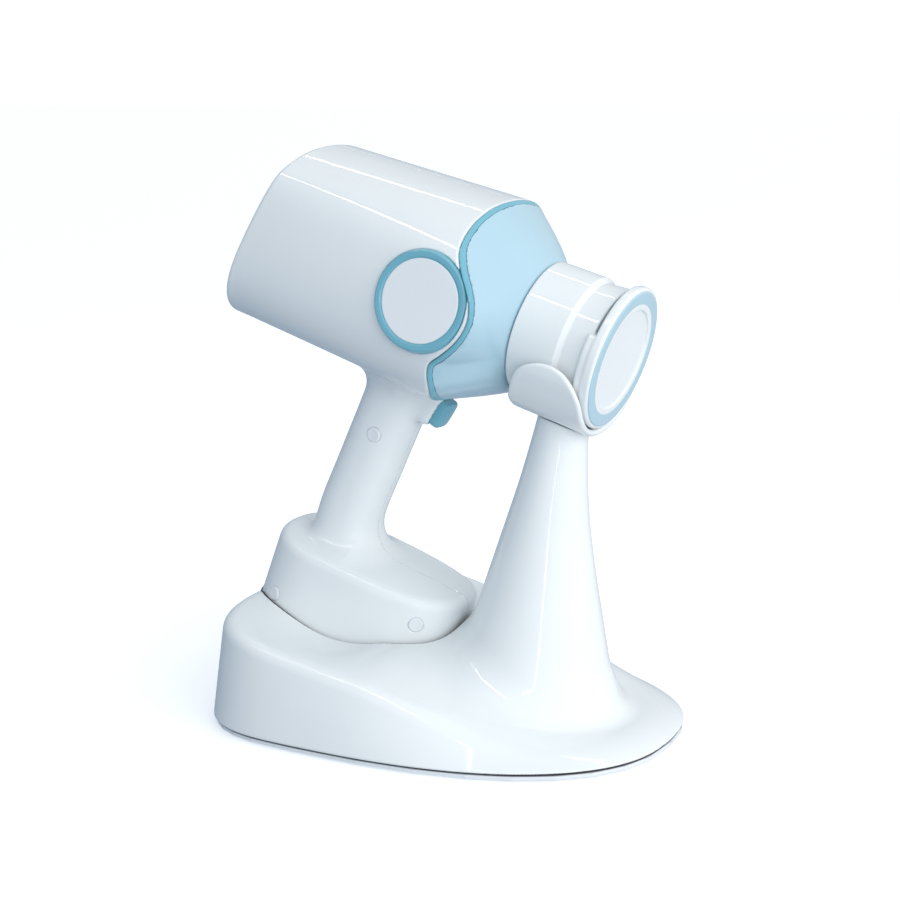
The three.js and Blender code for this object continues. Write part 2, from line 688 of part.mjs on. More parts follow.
const FEET_SPOTS = {
  rear_right: [-92, -62],
  rear_left: [-92, 62],
  front_right: [72, -56],
  front_left: [72, 56],
};
const SCREW_SPOTS = {
  rear_right: [-60, -74],
  rear_left: [-60, 74],
  front_right: [50, -58],
  front_left: [50, 58],
};
const INLET_HEIGHT = 22;
const INLET_RADIUS = 5.4;
const SOCKET_RADIUS = 3.4;
const inletFrame = shift(BASE.widest - BASE.rear, 0, INLET_HEIGHT).multiply(
  new THREE.Matrix4().makeRotationY(-Math.PI / 2),
);

const SLOT_FLOOR = BLOCK_BOTTOM - 3.4;
function standShellSolid() {
  const outer = baseSolid(0, BASE_FOOT).add(postSolid(0, 172));
  let hollow = baseSolid(3, BASE_FOOT - 6).add(postSolid(3, 155)).subtract(blockSlot(4, SLOT_FLOOR - 3));
  for (const [x, y] of Object.values(SCREW_SPOTS)) {
    hollow = hollow.subtract(bar(4, BASE_FOOT + 1, 90, 10, shift(x, y, 0)));
  }
  let shell = outer
    .subtract(hollow)
    .subtract(blockSlot(0.9, SLOT_FLOOR))
    .subtract(bar(SADDLE_OUTER + GAP, -70, 30, 36, inDock(alongBeam)))
    .subtract(bar(INLET_RADIUS + GAP, -14, 8, 16, inletFrame));
  for (const [x, y] of Object.values(SCREW_SPOTS)) {
    shell = shell.subtract(bar(1.5 + GAP, -1, 16, 10, shift(x, y, 0)));
  }
  for (const x of Object.values(contactSpots)) {
    shell = shell.subtract(bar(PIN_RADIUS + GAP, -20, 20, 10, inDock(shift(x, 0, SLOT_FLOOR))));
  }
  return shell;
}
add(unit, "stand_shell", standShellSolid(), WHITE);

let bottomPlate = slab(baseOutline(1.6), 1, 2.7);
for (const [name, [x, y]] of Object.entries(FEET_SPOTS)) {
  const at = shift(x, y, 0);
  bottomPlate = bottomPlate.subtract(bar(7 + GAP, -1, 6, 16, at));
  add(unit, `foot_${name}`, bar(7, 0, 3.4, 16, at), RUBBER);
}
for (const [name, [x, y]] of Object.entries(SCREW_SPOTS)) {
  const at = shift(x, y, 0);
  bottomPlate = bottomPlate.subtract(bar(1.5 + GAP, -1, 6, 8, at));
  bottomPlate = bottomPlate.subtract(bar(3 + GAP, -1, 1.9, 12, at));
  const screw = bar(3, 0.9, 1.6, 12, at).add(bar(1.5, 1, 12, 8, at));
  add(unit, `base_screw_${name}`, screw, STEEL);
}
add(unit, "bottom_plate", bottomPlate, PALE);
const gasket = slab(baseOutline(2.6), 3, 3.6).subtract(slab(baseOutline(5.4), 2, 5));
add(unit, "base_gasket", gasket, DARK);
add(unit, "ballast_plate", boxAt(84, 78, 5, shift(38, 0, 5.8)), STEEL);
add(unit, "charge_board", boxAt(52, 40, 1.6, shift(-78, 0, 6.4)), BOARD);
const inletBack = bar(INLET_RADIUS, -13.6, -12, 16, inletFrame);
const inletWall = ringBar(SOCKET_RADIUS, INLET_RADIUS, -12, -0.6, 16, inletFrame);
add(unit, "power_inlet", inletWall.add(inletBack), DARK);

// Saddle: a trough round the cone with an ear on each side
function saddleSolid() {
  const cradle = bar(SADDLE_OUTER, -60, 20, 36, alongBeam)
    .intersect(boxAt(BIG, 2 * SADDLE_HALF_WIDTH, BIG, shift(0, 0, 0)))
    .add(boxAt(80, 2 * SADDLE_HALF_WIDTH, 40, shift(-20, 0, 14)))
    .subtract(bar(SADDLE_INNER, -90, 40, 36, alongBeam))
    .subtract(boxAt(160, 2 * SADDLE_INNER, 60, shift(-20, 0, 30)));
  return cradle.intersect(acrossSlab(SADDLE_OUTLINE, 60));
}
const padShape = bar(SADDLE_INNER - GAP, -31, -24, 36, alongBeam)
  .subtract(bar(CONE_RADIUS + GAP, -60, 40, 36, alongBeam))
  .subtract(boxAt(160, 120, 60, shift(-20, 0, 30 - 16)));
const saddleScrewAt = shift(-20, 0, 0).multiply(new THREE.Matrix4().makeRotationX(Math.PI));
const screwPassage = bar(1.6 + GAP, 20, 60, 12, saddleScrewAt);
add(docked, "saddle", saddleSolid().subtract(screwPassage), WHITE);
add(docked, "saddle_pad", padShape, RUBBER);

// Lining under the block, and the sprung charging pins
let cradlePad = slab(egg(BLOCK, 3, BLOCK_STEPS), SLOT_FLOOR + GAP, BLOCK_BOTTOM - GAP);
for (const [name, x] of Object.entries(contactSpots)) {
  const at = shift(x, 0, BLOCK_BOTTOM);
  cradlePad = cradlePad.subtract(bar(PIN_RADIUS + 2 * GAP, -9, 3, 12, at));
  const profile = [[0, -13], [PIN_RADIUS, -13], [PIN_RADIUS, -1], [PIN_RADIUS - 0.7, -GAP], [0, -GAP]];
  add(docked, `contact_pin_${name}`, turned(profile, 12, at), GOLD);
}
add(docked, "cradle_pad", cradlePad, DARK);

export default unit;
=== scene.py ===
"""A handheld dental X-ray unit docked on its desk stand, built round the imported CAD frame.

Curved shells are signed-distance fields in millimetres, meshed on a sparse grid; turned pieces
are lathed profiles with rounded corners. Handset shapes use the docked handset's own axes:
u along the beam, y across, w up the handset, from the centre of the cone's front face.
"""

import json
import math

import bmesh
import bpy
import numpy as np
from mathutils import Matrix, Vector


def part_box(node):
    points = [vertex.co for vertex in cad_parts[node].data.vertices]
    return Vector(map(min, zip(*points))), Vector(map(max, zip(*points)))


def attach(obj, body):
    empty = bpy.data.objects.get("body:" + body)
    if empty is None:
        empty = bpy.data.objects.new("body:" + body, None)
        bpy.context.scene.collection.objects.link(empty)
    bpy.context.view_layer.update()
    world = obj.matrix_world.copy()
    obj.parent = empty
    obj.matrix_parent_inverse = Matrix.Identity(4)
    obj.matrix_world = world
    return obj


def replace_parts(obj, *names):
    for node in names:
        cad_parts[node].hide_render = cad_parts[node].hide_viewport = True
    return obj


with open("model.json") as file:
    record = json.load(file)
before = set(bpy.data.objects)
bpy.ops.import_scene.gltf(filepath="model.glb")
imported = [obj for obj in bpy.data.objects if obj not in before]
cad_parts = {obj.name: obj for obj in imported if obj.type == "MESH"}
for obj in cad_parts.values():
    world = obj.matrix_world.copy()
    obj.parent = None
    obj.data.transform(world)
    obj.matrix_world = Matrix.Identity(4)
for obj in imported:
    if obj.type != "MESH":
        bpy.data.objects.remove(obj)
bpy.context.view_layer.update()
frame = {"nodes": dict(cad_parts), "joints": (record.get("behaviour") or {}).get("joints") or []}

# ---------------------------------------------------------------- driving dimensions (mm)
GAP = 0.3  # between neighbouring parts
SEAM = 0.04  # between parts that butt
HALF_SEAM = 0.06  # from the middle plane to each housing half
FAR = 40  # past the end of any opening
WALL = 2.6
# Grid steps of the meshed fields
MESH_STEP = 0.85
FINE_STEP = 0.55
WINDOW_DEPTH = 2.3  # middle of the exit window behind the cone's front face
DOCK_PLACE = 97.8  # the cone's front face along the stand, before the part is centred on its origin

HEAD_REAR = -201
HEAD_FRONT = -76
REAR_SLOPE = 0.22
REAR_OPENING = 0.86  # size of the opening in the rear face, as a share of the face
REAR_OPENING_DEPTH = 9
HEAD_EDGE = 3
SHELL_EDGE = 1.3
OUTLINE_SOFTNESS = 0.05
PLAN_SOFTNESS = 0.02
# Half outlines of the head (side, height), from the top round to the bottom
HEAD_REAR_OUTLINE = [
    (0, 51), (14.5, 50), (27, 47), (37, 42), (45, 35), (49.5, 18),
    (51.5, -5), (50, -21), (45, -33), (36, -42.5), (23, -48), (0, -49.5),
]
HEAD_FRONT_OUTLINE = [
    (0, 57), (15, 56), (28, 53), (43, 44.5), (55, 31), (59.5, 15),
    (61, -5), (58.5, -23), (52, -36.5), (41, -45), (25, -49.5), (0, -50.5),
]
# Front edge of the housing: (along the beam, height)
NOSE_EDGE = [
    (-86, -70), (-85, -56), (-79, -47), (-75.5, -38), (-76, -28), (-75, -22), (-70.5, -16.5),
    (-65, -9), (-61.5, -1.5), (-60.5, 6), (-62.5, 13), (-66.5, 19), (-71.5, 25), (-75.4, 30),
    (-78.4, 35), (-80, 41), (-80.4, 48), (-79.6, 55), (-78.6, 70),
]
NOSE_LOWEST = -62
NOSE_END = -48
NOSE_END_RADIUS = 33
NOSE_END_DROP = 2.2  # how much larger the round end is at the bottom
NOSE_BULGE = 1.2
# The shoulder beside the badge: its height, its spread, and how much steeper the nose falls there
SHOULDER_HEIGHT = 2
SHOULDER_SPREAD = 24
SHOULDER_POWER = 0.9
TRIM_WIDTH = 2.6
TRIM_PROUD = 0.15

CONE_RADIUS = 35
COLLAR_FRONT = -20
NECK_RADIUS = 33.2
CAP_RADIUS = 37.6
CAP_THICKNESS = 5.2
CAP_GRIP_THICKNESS = 9.2
CAP_GRIP_HALF_HEIGHT = 16
CAP_EDGE = 1.8
COLLAR_BORE = NECK_RADIUS - 3
COLLAR_STEP = 2.6
WINDOW_RADIUS = 27.8
WINDOW_LIP = 1.5  # half width of the lip round the exit window
WINDOW_BACK = -2.9
WINDOW_FACE = -1.2
FACE_RING_RADIUS = 35.2
FACE_RING_INNER_RADIUS = WINDOW_RADIUS + 1.7
FACE_RING_SEAT_RADIUS = WINDOW_RADIUS + 1.4
FACE_RING_BACK = -1.1
FACE_RING_FACE = -0.15

BADGE_CENTRE = (-88, 59.6, 6)
BADGE_LEAN = math.radians(8)
BADGE_RADIUS = 25.1
BADGE_INNER_RADIUS = 20.9
BADGE_BACK = -3.7
BADGE_PROUD = 1.1
BADGE_SEAT = -4
BADGE_POCKET_WALL = 2.6

# Handle: height, centre along the beam, half length, half width
HANDLE_SECTIONS = np.array([
    (-30, -112, 22, 20), (-56, -114, 18.5, 17.2), (-72, -116.4, 17.6, 16.6),
    (-90, -119, 17.5, 16.5), (-108, -121.5, 17.5, 16.5), (-132, -124.8, 17.6, 16.6),
    (-150, -125, 18.2, 17), (-170, -125, 18.5, 17.2),
])
HANDLE_POWER = 2.4
HANDLE_TOP = -30
HANDLE_TOP_EDGE = 8
HANDLE_BLEND = 17
BLOCK = {
    "widest": -118, "half_width": 37.5, "front": 77.5, "front_power": 2.8, "rear": 42.6, "rear_power": 2.6,
}
BLOCK_CENTRE = (-108, 0)
BLOCK_TOP = -153.4
BLOCK_BOTTOM = -197
BLOCK_DRAFT = 0.065
BLOCK_EDGE = 5.5
BLOCK_CROWN = 420  # the top falls to each side by the square of the distance, divided by this
BLOCK_SAG = 1.6  # how far the top falls at BLOCK_SAG_REACH from the widest place
BLOCK_SAG_REACH = 75
# Along the block: how softly it meets the handle
BLOCK_BLEND_PLACES = (-142, -110)
BLOCK_BLENDS = (6, 19)

TRIGGER_TILT = math.radians(16)
TRIGGER_SEAT = (-88.2, 0, -63.4)
TRIGGER_HEIGHT = 15.5
TRIGGER_WIDTH = 13.5
TRIGGER_REACH = 5.6
TRIGGER_DEPTH = 6
TRIGGER_EDGE = 2.6
BOSS_DEPTH = 13
BOSS_MARGIN = (2.6, 2.2)
BOSS_EDGE = 4.5
BOSS_BLEND = 5

# Screw covers on the right-hand side: along the beam, height, turn in degrees
PLUG_SPOTS = {
    "handle": (-116, -85, 0),
    "block_rear": (-142, -188, 22),
    "block_front": (-57.6, -170, -30),
}
PLUG_RADIUS = 3.5
PLUG_GAP = 0.5
PLUG_SEAT = -1.9
PLUG_BACK = -1.7

# Keys on the rear face: side and height
KEY_SPOTS = {
    "minus": (-23, -17), "mode": (0, -17), "plus": (23, -17), "tooth": (-13, -32), "power": (13, -32),
}
KEY_RADIUS = 5.6
KEY_BACK = -3.2
KEY_CROWN = 1.3
INK_THICKNESS = 0.3
REAR_COVER_RECESS = 0.4
REAR_COVER_BACK = 3.4
DISPLAY_SIZE = (62, 42)
DISPLAY_UP = 15
DISPLAY_SEAT = 1.8
DISPLAY_BORDER = 3.3

BASE = {
    "widest": -40, "half_width": 100, "front": 170, "front_power": 2.42, "rear": 75, "rear_power": 3.2,
}
BASE_CENTRE = (5, 0)
BASE_FOOT = 3.9
# Post: height, centre along X, half length, half width
POST_SECTIONS = np.array([
    (10, 44, 56, 49), (28, 46, 48, 43), (36, 47.5, 43.5, 40), (46, 49.8, 39.6, 36.6),
    (56, 51.7, 36, 34), (66, 53.2, 32.8, 31.5), (80, 54.5, 29.3, 28), (96, 56, 25.5, 24.5),
    (114, 58, 21.5, 21), (132, 60.5, 18, 18), (152, 63.4, 15, 15), (172, 67, 13.2, 13.2),
    (190, 71, 12.6, 12.6),
])
# Along the base: height of its middle, height of its rim, and how far the wall leans in below the rim
BASE_MIDDLE = [
    (-115, 57), (-104, 53), (-72, 44.5), (-41, 41), (-18, 43), (4, 41), (60, 24), (95, 13), (130, 8),
]
BASE_RIM = [
    (-115, 60.5), (-84, 55.5), (-53, 49.5), (-20, 43), (0, 38.5), (30, 28), (58, 18.5), (90, 12),
    (130, 9.5),
]
BASE_LEAN = [(-115, 7), (-70, 7), (-40, 8), (0, 11), (58, 16), (90, 16), (130, 10)]
# The slope from rim to middle: where it starts and how long it is, as shares of the way to the centre
BASE_DISH_START = 0.1
BASE_DISH_LENGTH = 0.42
# Roundness of the rim: as a share of its height, and its bounds
BASE_EDGE_SHARE = 0.3
BASE_EDGE_BOUNDS = (3.5, 6.5)
# Along the base: how softly the post meets it
POST_BLEND_PLACES = (0, 45, 85)
POST_BLENDS = (28, 18, 8)
STAND_WALL = 3
SLOT_GAP = 0.9
SLOT_DEPTH = 3.4
SLOT_EDGE = 1.2
INLET_HEIGHT = 22
INLET_RADIUS = 5.7
INLET_PLACE = -100

# Dark seal at the foot of the base: how far it stays inside the outline, bottom, top, width
SEAL = {"drawn": 2.4, "low": 2.9, "high": 3.7, "width": 3}
# Along the handset: how far the cradle lining stays below the stand's surface; near the rear it comes close
# to the surface, where the dark lining paints the shadow line between block and stand
LINING_SHADOW_PLACES = (-135, -100)
LINING_SHADOW_DEPTHS = (0.15, 0.8)
SADDLE_INNER = 38.4
SADDLE_OUTER = 42
SADDLE_HALF_WIDTH = 41
SADDLE_EDGE = 2.2
SADDLE_OUTLINE = [
    (-41, -52), (-44.4, -40), (-44, -33), (-42.2, -26), (-39.6, -17), (-35.6, -11), (-29, -6.8),
    (-22, -5.2), (-16, -5.8), (-11, -8), (-6.6, -12), (-3.2, -17), (-1.2, -22.5), (-0.4, -30), (-0.4, -52),
]

# Camera (degrees, metres, millimetres of lens) and studio
CAMERA_AZIMUTH = 28.2
CAMERA_ELEVATION = 12
CAMERA_DISTANCE = 0.9
CAMERA_LENS = 67.68
AIM_HEIGHT = 143.5
LIGHT_AIM = Vector((0, 0, 0.17))
FLOOR_HALF_SIZE = 30
FLOOR_COLOUR = (0.93, 0.945, 0.96)
FLOOR_GLOW = 0.35
BACKDROP = (1.1, 1.1, 1.1)
BRIGHT_SIDE = (0.78, 0.04, 0.62)
STUDIO_DIM = (0.17, 0.26, 0.37)
STUDIO_BRIGHT = (0.97, 0.98, 0.99)

# ---------------------------------------------------------------- frames
lift_axis = next(j["axis"] for j in frame["joints"] if j["name"] == "handset_lift")
UP = np.array(lift_axis) / np.linalg.norm(lift_axis)
BEAM = np.array([UP[2], 0, -UP[0]])
window_low, window_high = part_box("exit_window")
DOCK = np.array((window_low + window_high) / 2) * 1000 + BEAM * WINDOW_DEPTH
ORIGIN_SHIFT = DOCK[0] - DOCK_PLACE
DOCK_MATRIX = Matrix((
    (BEAM[0], 0, UP[0], DOCK[0] / 1000),
    (0, 1, 0, 0),
    (BEAM[2], 0, UP[2], DOCK[2] / 1000),
    (0, 0, 0, 1),
))


def to_dock(points):
    """World points in millimetres, in the handset's axes."""
    d = points - DOCK
    return np.stack([d @ BEAM, d[:, 1], d @ UP], 1)


# ---------------------------------------------------------------- field helpers
def smin(a, b, k):
    h = np.maximum(k - np.abs(a - b), 0) / k
    return np.minimum(a, b) - h * h * k / 4


def smax(a, b, k):
    return -smin(-a, -b, k)


class Polar:
    """A closed outline seen from a centre, as its distance at each bearing; call it for the
    signed distance of points, which is true near the outline."""

    COUNT = 4096

    def __init__(self, points, soften, centre=(0, 0)):
        self.centre = centre
        a = np.array([p[0] for p in points]) - centre[0]
        b = np.array([p[1] for p in points]) - centre[1]
        bearing = np.unwrap(np.arctan2(b, a))
        if bearing[-1] < bearing[0]:
            bearing, a, b = bearing[::-1], a[::-1], b[::-1]
        away = np.hypot(a, b)
        bearings = np.linspace(0, 2 * math.pi, self.COUNT, endpoint=False)
        wide_b = np.concatenate([bearing - 2 * math.pi, bearing, bearing + 2 * math.pi])
        reach = np.interp(bearings, wide_b, np.tile(away, 3))
        frequency = np.fft.rfftfreq(self.COUNT, 1 / self.COUNT)
        keep = np.exp(-0.5 * (frequency * soften) ** 2)
        reach = np.fft.irfft(np.fft.rfft(reach) * keep, self.COUNT)
        slope = np.gradient(reach, 2 * math.pi / self.COUNT)
        self.reach = reach
        self.cosine = reach / np.hypot(reach, slope)

    def at(self, a, b):
        position = np.mod(np.arctan2(b, a), 2 * math.pi) / (2 * math.pi) * self.COUNT
        low = position.astype(int) % self.COUNT
        high = (low + 1) % self.COUNT
        share = position - np.floor(position)
        reach = self.reach[low] * (1 - share) + self.reach[high] * share
        cosine = self.cosine[low] * (1 - share) + self.cosine[high] * share
        return reach, cosine

    def __call__(self, a, b):
        a = a - self.centre[0]
        b = b - self.centre[1]
        reach, cosine = self.at(a, b)
        return (np.hypot(a, b) - reach) * cosine


def curve_through(points, closed=True, steps=24):
    """Dense points of a smooth curve through given ones."""
    p = np.array(points, float)
    if closed:
        before, after, after2 = np.roll(p, 1, 0), np.roll(p, -1, 0), np.roll(p, -2, 0)
    else:
        ends = np.vstack([2 * p[0] - p[1], p, 2 * p[-1] - p[-2]])
        before, after, after2 = ends[:-3], ends[2:-1], ends[3:]
        p = ends[1:-2]
    dense = []
    for i in range(len(p)):
        for t in np.linspace(0, 1, steps, endpoint=False):
            a, b, c, d = before[i], p[i], after[i], after2[i]
            dense.append(0.5 * (2 * b + (c - a) * t + (2 * a - 5 * b + 4 * c - d) * t**2
                                + (3 * b - a - 3 * c + d) * t**3))
    if not closed:
        dense.append(after[-1])
    return np.array(dense)


def whole(half):
    """A half outline of (side, height) as a closed one of (height, side)."""
    mirrored = [(-y, z) for y, z in half[-2:0:-1]]
    return [(z, y) for y, z in list(half) + mirrored]


def egg(widest, half_width, front, front_power, rear, rear_power, steps=720):
    """Two half superellipses that meet at their widest place."""
    angle = np.linspace(0, 2 * math.pi, steps, endpoint=False)
    c, s = np.cos(angle), np.sin(angle)
    power = np.where(c >= 0, front_power, rear_power)
    reach = np.where(c >= 0, front, rear)
    x = widest + reach * np.sign(c) * np.abs(c) ** (2 / power)
    y = half_width * np.sign(s) * np.abs(s) ** (2 / power)
    return np.stack([x, y], 1)


def polygon_distance(points, a, b):
    """Signed distance of (a, b) to a closed polygon."""
    best = np.full(a.shape, 1e9)
    inside = np.zeros(a.shape, bool)
    count = len(points)
    for i in range(count):
        (x0, y0), (x1, y1) = points[i], points[(i + 1) % count]
        dx, dy = x1 - x0, y1 - y0
        t = np.clip(((a - x0) * dx + (b - y0) * dy) / (dx * dx + dy * dy), 0, 1)
        best = np.minimum(best, np.hypot(a - x0 - t * dx, b - y0 - t * dy))
        if y0 != y1:
            crosses = ((y0 > b) != (y1 > b)) & (a < (x1 - x0) * (b - y0) / (y1 - y0) + x0)
            inside ^= crosses
    return np.where(inside, -best, best)


def smooth_interp(x, xs, ys):
    """Interpolation with a soft turn at each knot."""
    dense = curve_through(np.stack([xs, ys], 1), closed=False, steps=12)
    return np.interp(x, dense[:, 0], dense[:, 1])


# ---------------------------------------------------------------- handset fields
rear_outline = Polar(curve_through(whole(HEAD_REAR_OUTLINE)), OUTLINE_SOFTNESS)
front_outline = Polar(curve_through(whole(HEAD_FRONT_OUTLINE)), OUTLINE_SOFTNESS)
block_outline = Polar(egg(**BLOCK), PLAN_SOFTNESS, centre=BLOCK_CENTRE)
edge_curve = curve_through([(z, x) for x, z in NOSE_EDGE], closed=False)
EDGE_HEIGHTS, EDGE_PLACES = edge_curve[:, 0], edge_curve[:, 1]
EDGE_COSINES = 1 / np.hypot(1, np.gradient(EDGE_PLACES, EDGE_HEIGHTS))


def rear_out(u, w):
    """Height above the sloping rear face."""
    return (HEAD_REAR + REAR_SLOPE * w - u) / math.hypot(1, REAR_SLOPE)


def head(u, y, w):
    t = np.clip((u - HEAD_REAR) / (HEAD_FRONT - HEAD_REAR), 0, 1)
    side = rear_outline(w, y) * (1 - t) + front_outline(w, y) * t
    return smax(side, rear_out(u, w), HEAD_EDGE)


def handle(u, y, w):
    z, c, a, b = HANDLE_SECTIONS[::-1].T
    centre = smooth_interp(w, z, c)
    a = smooth_interp(w, z, a)
    b = smooth_interp(w, z, b)
    r = (np.abs((u - centre) / a) ** HANDLE_POWER + np.abs(y / b) ** HANDLE_POWER) ** (1 / HANDLE_POWER)
    return smax((r - 1) * (a + b) / 2 * 0.99, w - HANDLE_TOP, HANDLE_TOP_EDGE)


def block(u, y, w):
    side = block_outline(u, y) + (w - BLOCK_BOTTOM) * BLOCK_DRAFT
    sag = ((u - BLOCK["widest"]) / BLOCK_SAG_REACH) ** 2 * BLOCK_SAG
    crown = BLOCK_TOP - y * y / BLOCK_CROWN - sag
    return smax(side, w - crown, BLOCK_EDGE)


def trigger_axes(u, y, w):
    """Across, up and out of the trigger's seat."""
    c, s = math.cos(TRIGGER_TILT), math.sin(TRIGGER_TILT)
    du, dw = u - TRIGGER_SEAT[0], w - TRIGGER_SEAT[2]
    return y, du * s + dw * c, du * c - dw * s


def rounded_box(a, b, c, half, radius):
    q = [np.abs(v) - (h - radius) for v, h in zip((a, b, c), half)]
    outside = np.sqrt(sum(np.maximum(v, 0) ** 2 for v in q))
    return outside + np.minimum(np.maximum(np.maximum(q[0], q[1]), q[2]), 0) - radius


def boss(u, y, w):
    across, up, out = trigger_axes(u, y, w)
    half = (TRIGGER_WIDTH / 2 + BOSS_MARGIN[0], TRIGGER_HEIGHT / 2 + BOSS_MARGIN[1], BOSS_DEPTH)
    return rounded_box(across, up, out + BOSS_DEPTH, half, BOSS_EDGE)


def handset_body(u, y, w):
    upper = smin(head(u, y, w), handle(u, y, w), HANDLE_BLEND)
    upper = smin(upper, boss(u, y, w), BOSS_BLEND)
    return smin(upper, block(u, y, w), np.interp(u, BLOCK_BLEND_PLACES, BLOCK_BLENDS))


def edge_ahead(u, w):
    """How far a point is in front of the housing's front edge."""
    place = np.interp(w, EDGE_HEIGHTS, EDGE_PLACES)
    cosine = np.interp(w, EDGE_HEIGHTS, EDGE_COSINES)
    return np.minimum((u - place) * cosine, w - NOSE_LOWEST)


def even(field, u, y, w, reach=0.1):
    """A field divided by its own slope, which makes it a distance near its surface."""
    value = field(u, y, w)
    nearby = (field(u + reach, y, w), field(u, y + reach, w), field(u, y, w + reach))
    slopes = [v - value for v in nearby]
    return value / np.clip(np.sqrt(sum(s * s for s in slopes)) / reach, 0.3, 3)


def nose(u, y, w):
    return even(nose_ruled, u, y, w)


def nose_ruled(u, y, w):
    """Lines from the housing's front edge to the cone's round end, with a shoulder by the badge."""
    away = np.hypot(y, w)
    reach, _ = front_outline.at(w, y)
    start = np.interp(w * reach / np.maximum(away, 1), EDGE_HEIGHTS, EDGE_PLACES)
    share = np.clip((u - start) / (NOSE_END - start), 0, 1.3)
    fall = share ** (1 + SHOULDER_POWER * np.exp(-((w - SHOULDER_HEIGHT) / SHOULDER_SPREAD) ** 2))
    end = NOSE_END_RADIUS + NOSE_END_DROP * np.clip(-w / CONE_RADIUS, 0, 1)
    bulge = NOSE_BULGE * np.sin(math.pi * np.clip(share, 0, 1))
    return away - reach * (1 - fall) - end * fall - bulge


def badge_axes(u, y, w, side):
    """Two axes in a badge's face and one out of it."""
    c, s = math.cos(BADGE_LEAN), math.sin(BADGE_LEAN)
    du, dy, dw = u - BADGE_CENTRE[0], side * y - BADGE_CENTRE[1], w - BADGE_CENTRE[2]
    return du, dw * c - dy * s, dy * c + dw * s


def disc(a, b, out, radius, low, high):
    return np.maximum(np.hypot(a, b) - radius, np.maximum(low - out, out - high))


def plug_matrix(name):
    """A screw cover's frame in the handset's axes: z out of the surface."""
    u, w, turn = PLUG_SPOTS[name]
    y = np.linspace(-60, -5, 1101)
    values = handset_body(np.full(y.shape, u), y, np.full(y.shape, w))
    depth = y[np.argmax(values < 0)]
    return (Matrix.Translation((u, depth, w)) @ Matrix.Rotation(math.radians(-turn), 4, "Z")
            @ Matrix.Rotation(math.pi / 2, 4, "X"))


PLUG_FRAMES = {name: plug_matrix(name) for name in PLUG_SPOTS}


def in_frame(matrix, u, y, w):
    m = np.array(matrix.inverted())
    return [m[i][0] * u + m[i][1] * y + m[i][2] * w + m[i][3] for i in range(3)]


def housing(u, y, w, side):
    """One half of the housing: side is -1 right, +1 left."""
    body = handset_body(u, y, w)
    badge = badge_axes(u, y, w, side)
    pocket = disc(*badge, BADGE_RADIUS + BADGE_POCKET_WALL, BADGE_SEAT - BADGE_POCKET_WALL, FAR)
    inner = np.maximum(body + WALL, -pocket)
    shell = np.maximum(body, -inner)
    shell = smax(shell, edge_ahead(u, w), SHELL_EDGE)
    opening = np.maximum(rear_outline(w / REAR_OPENING, y / REAR_OPENING) * REAR_OPENING,
                         -rear_out(u, w) - REAR_OPENING_DEPTH)
    shell = smax(shell, -opening, SHELL_EDGE)
    recess = disc(*badge, BADGE_RADIUS + GAP, BADGE_SEAT, FAR)
    shell = smax(shell, -recess, 1)
    across, up, out = trigger_axes(u, y, w)
    hole = rounded_box(across, up, out, (TRIGGER_WIDTH / 2 + GAP, TRIGGER_HEIGHT / 2 + GAP, FAR), 3)
    shell = smax(shell, -hole, 1)
    if side < 0:
        for matrix in PLUG_FRAMES.values():
            a, b, out = in_frame(matrix, u, y, w)
            shell = smax(shell, -disc(a, b, out, PLUG_RADIUS + PLUG_GAP, PLUG_SEAT, 9), 0.5)
    shell = smax(shell, BLOCK_BOTTOM - w, 1.5)
    return smax(shell, HALF_SEAM - side * y, 0.5)


def trim_band(u, y, w):
    surface = nose(u, y, w)
    shell = np.maximum(surface - TRIM_PROUD, -(surface + WALL))
    ahead = edge_ahead(u, w)
    return smax(smax(shell, GAP - ahead, 0.8), ahead - TRIM_WIDTH, 0.3)


def nose_cover(u, y, w):
    surface = nose(u, y, w)
    shell = np.maximum(surface, -(surface + WALL))
    ahead = edge_ahead(u, w)
    shell = smax(shell, TRIM_WIDTH + SEAM - ahead, 0.3)
    return smax(shell, u - (NOSE_END - GAP), 1)


def cap(u, y, w):
    away = np.hypot(y, w)
    rim = smax(away - CAP_RADIUS, np.abs(u + CAP_THICKNESS / 2) - CAP_THICKNESS / 2, CAP_EDGE)
    grip_middle = (CAP_GRIP_THICKNESS + 2) / 2
    grip_depth = np.abs(u + grip_middle) - (CAP_GRIP_THICKNESS - 2) / 2
    grip = smax(away - CAP_RADIUS + 0.5, grip_depth, CAP_EDGE)
    grip = smax(grip, np.abs(w + 1) - CAP_GRIP_HALF_HEIGHT, 1.2)
    whole_cap = smin(rim, grip, 0.8)
    bore = COLLAR_BORE - away + np.where(u > -CAP_THICKNESS, -3, 0)
    whole_cap = smax(whole_cap, bore, 0.8)
    seat_outer = FACE_RING_RADIUS + GAP
    seat_middle = (FACE_RING_SEAT_RADIUS + seat_outer) / 2
    seat = np.abs(away - seat_middle) - (seat_outer - FACE_RING_SEAT_RADIUS) / 2
    seat = np.maximum(seat, FACE_RING_BACK - GAP - u)
    whole_cap = smax(whole_cap, -seat, 0.6)
    window_seat = np.maximum(away - WINDOW_RADIUS - WINDOW_LIP - GAP, WINDOW_BACK - GAP - u)
    return smax(whole_cap, -window_seat, 1)


def saddle(u, y, w):
    low = np.minimum(w, 0)
    outer = smax(np.hypot(y, low) - SADDLE_OUTER, np.abs(y) - SADDLE_HALF_WIDTH, 1)
    inner = np.hypot(y, low) - SADDLE_INNER
    trough = smax(outer, -inner, 1.6)
    outline = polygon_distance(SADDLE_SIDE, u, w)
    return smax(trough, outline, SADDLE_EDGE)


SADDLE_SIDE = [tuple(p) for p in curve_through(SADDLE_OUTLINE[1:-1], closed=False, steps=6)]
SADDLE_SIDE += [SADDLE_OUTLINE[-1], SADDLE_OUTLINE[0]]


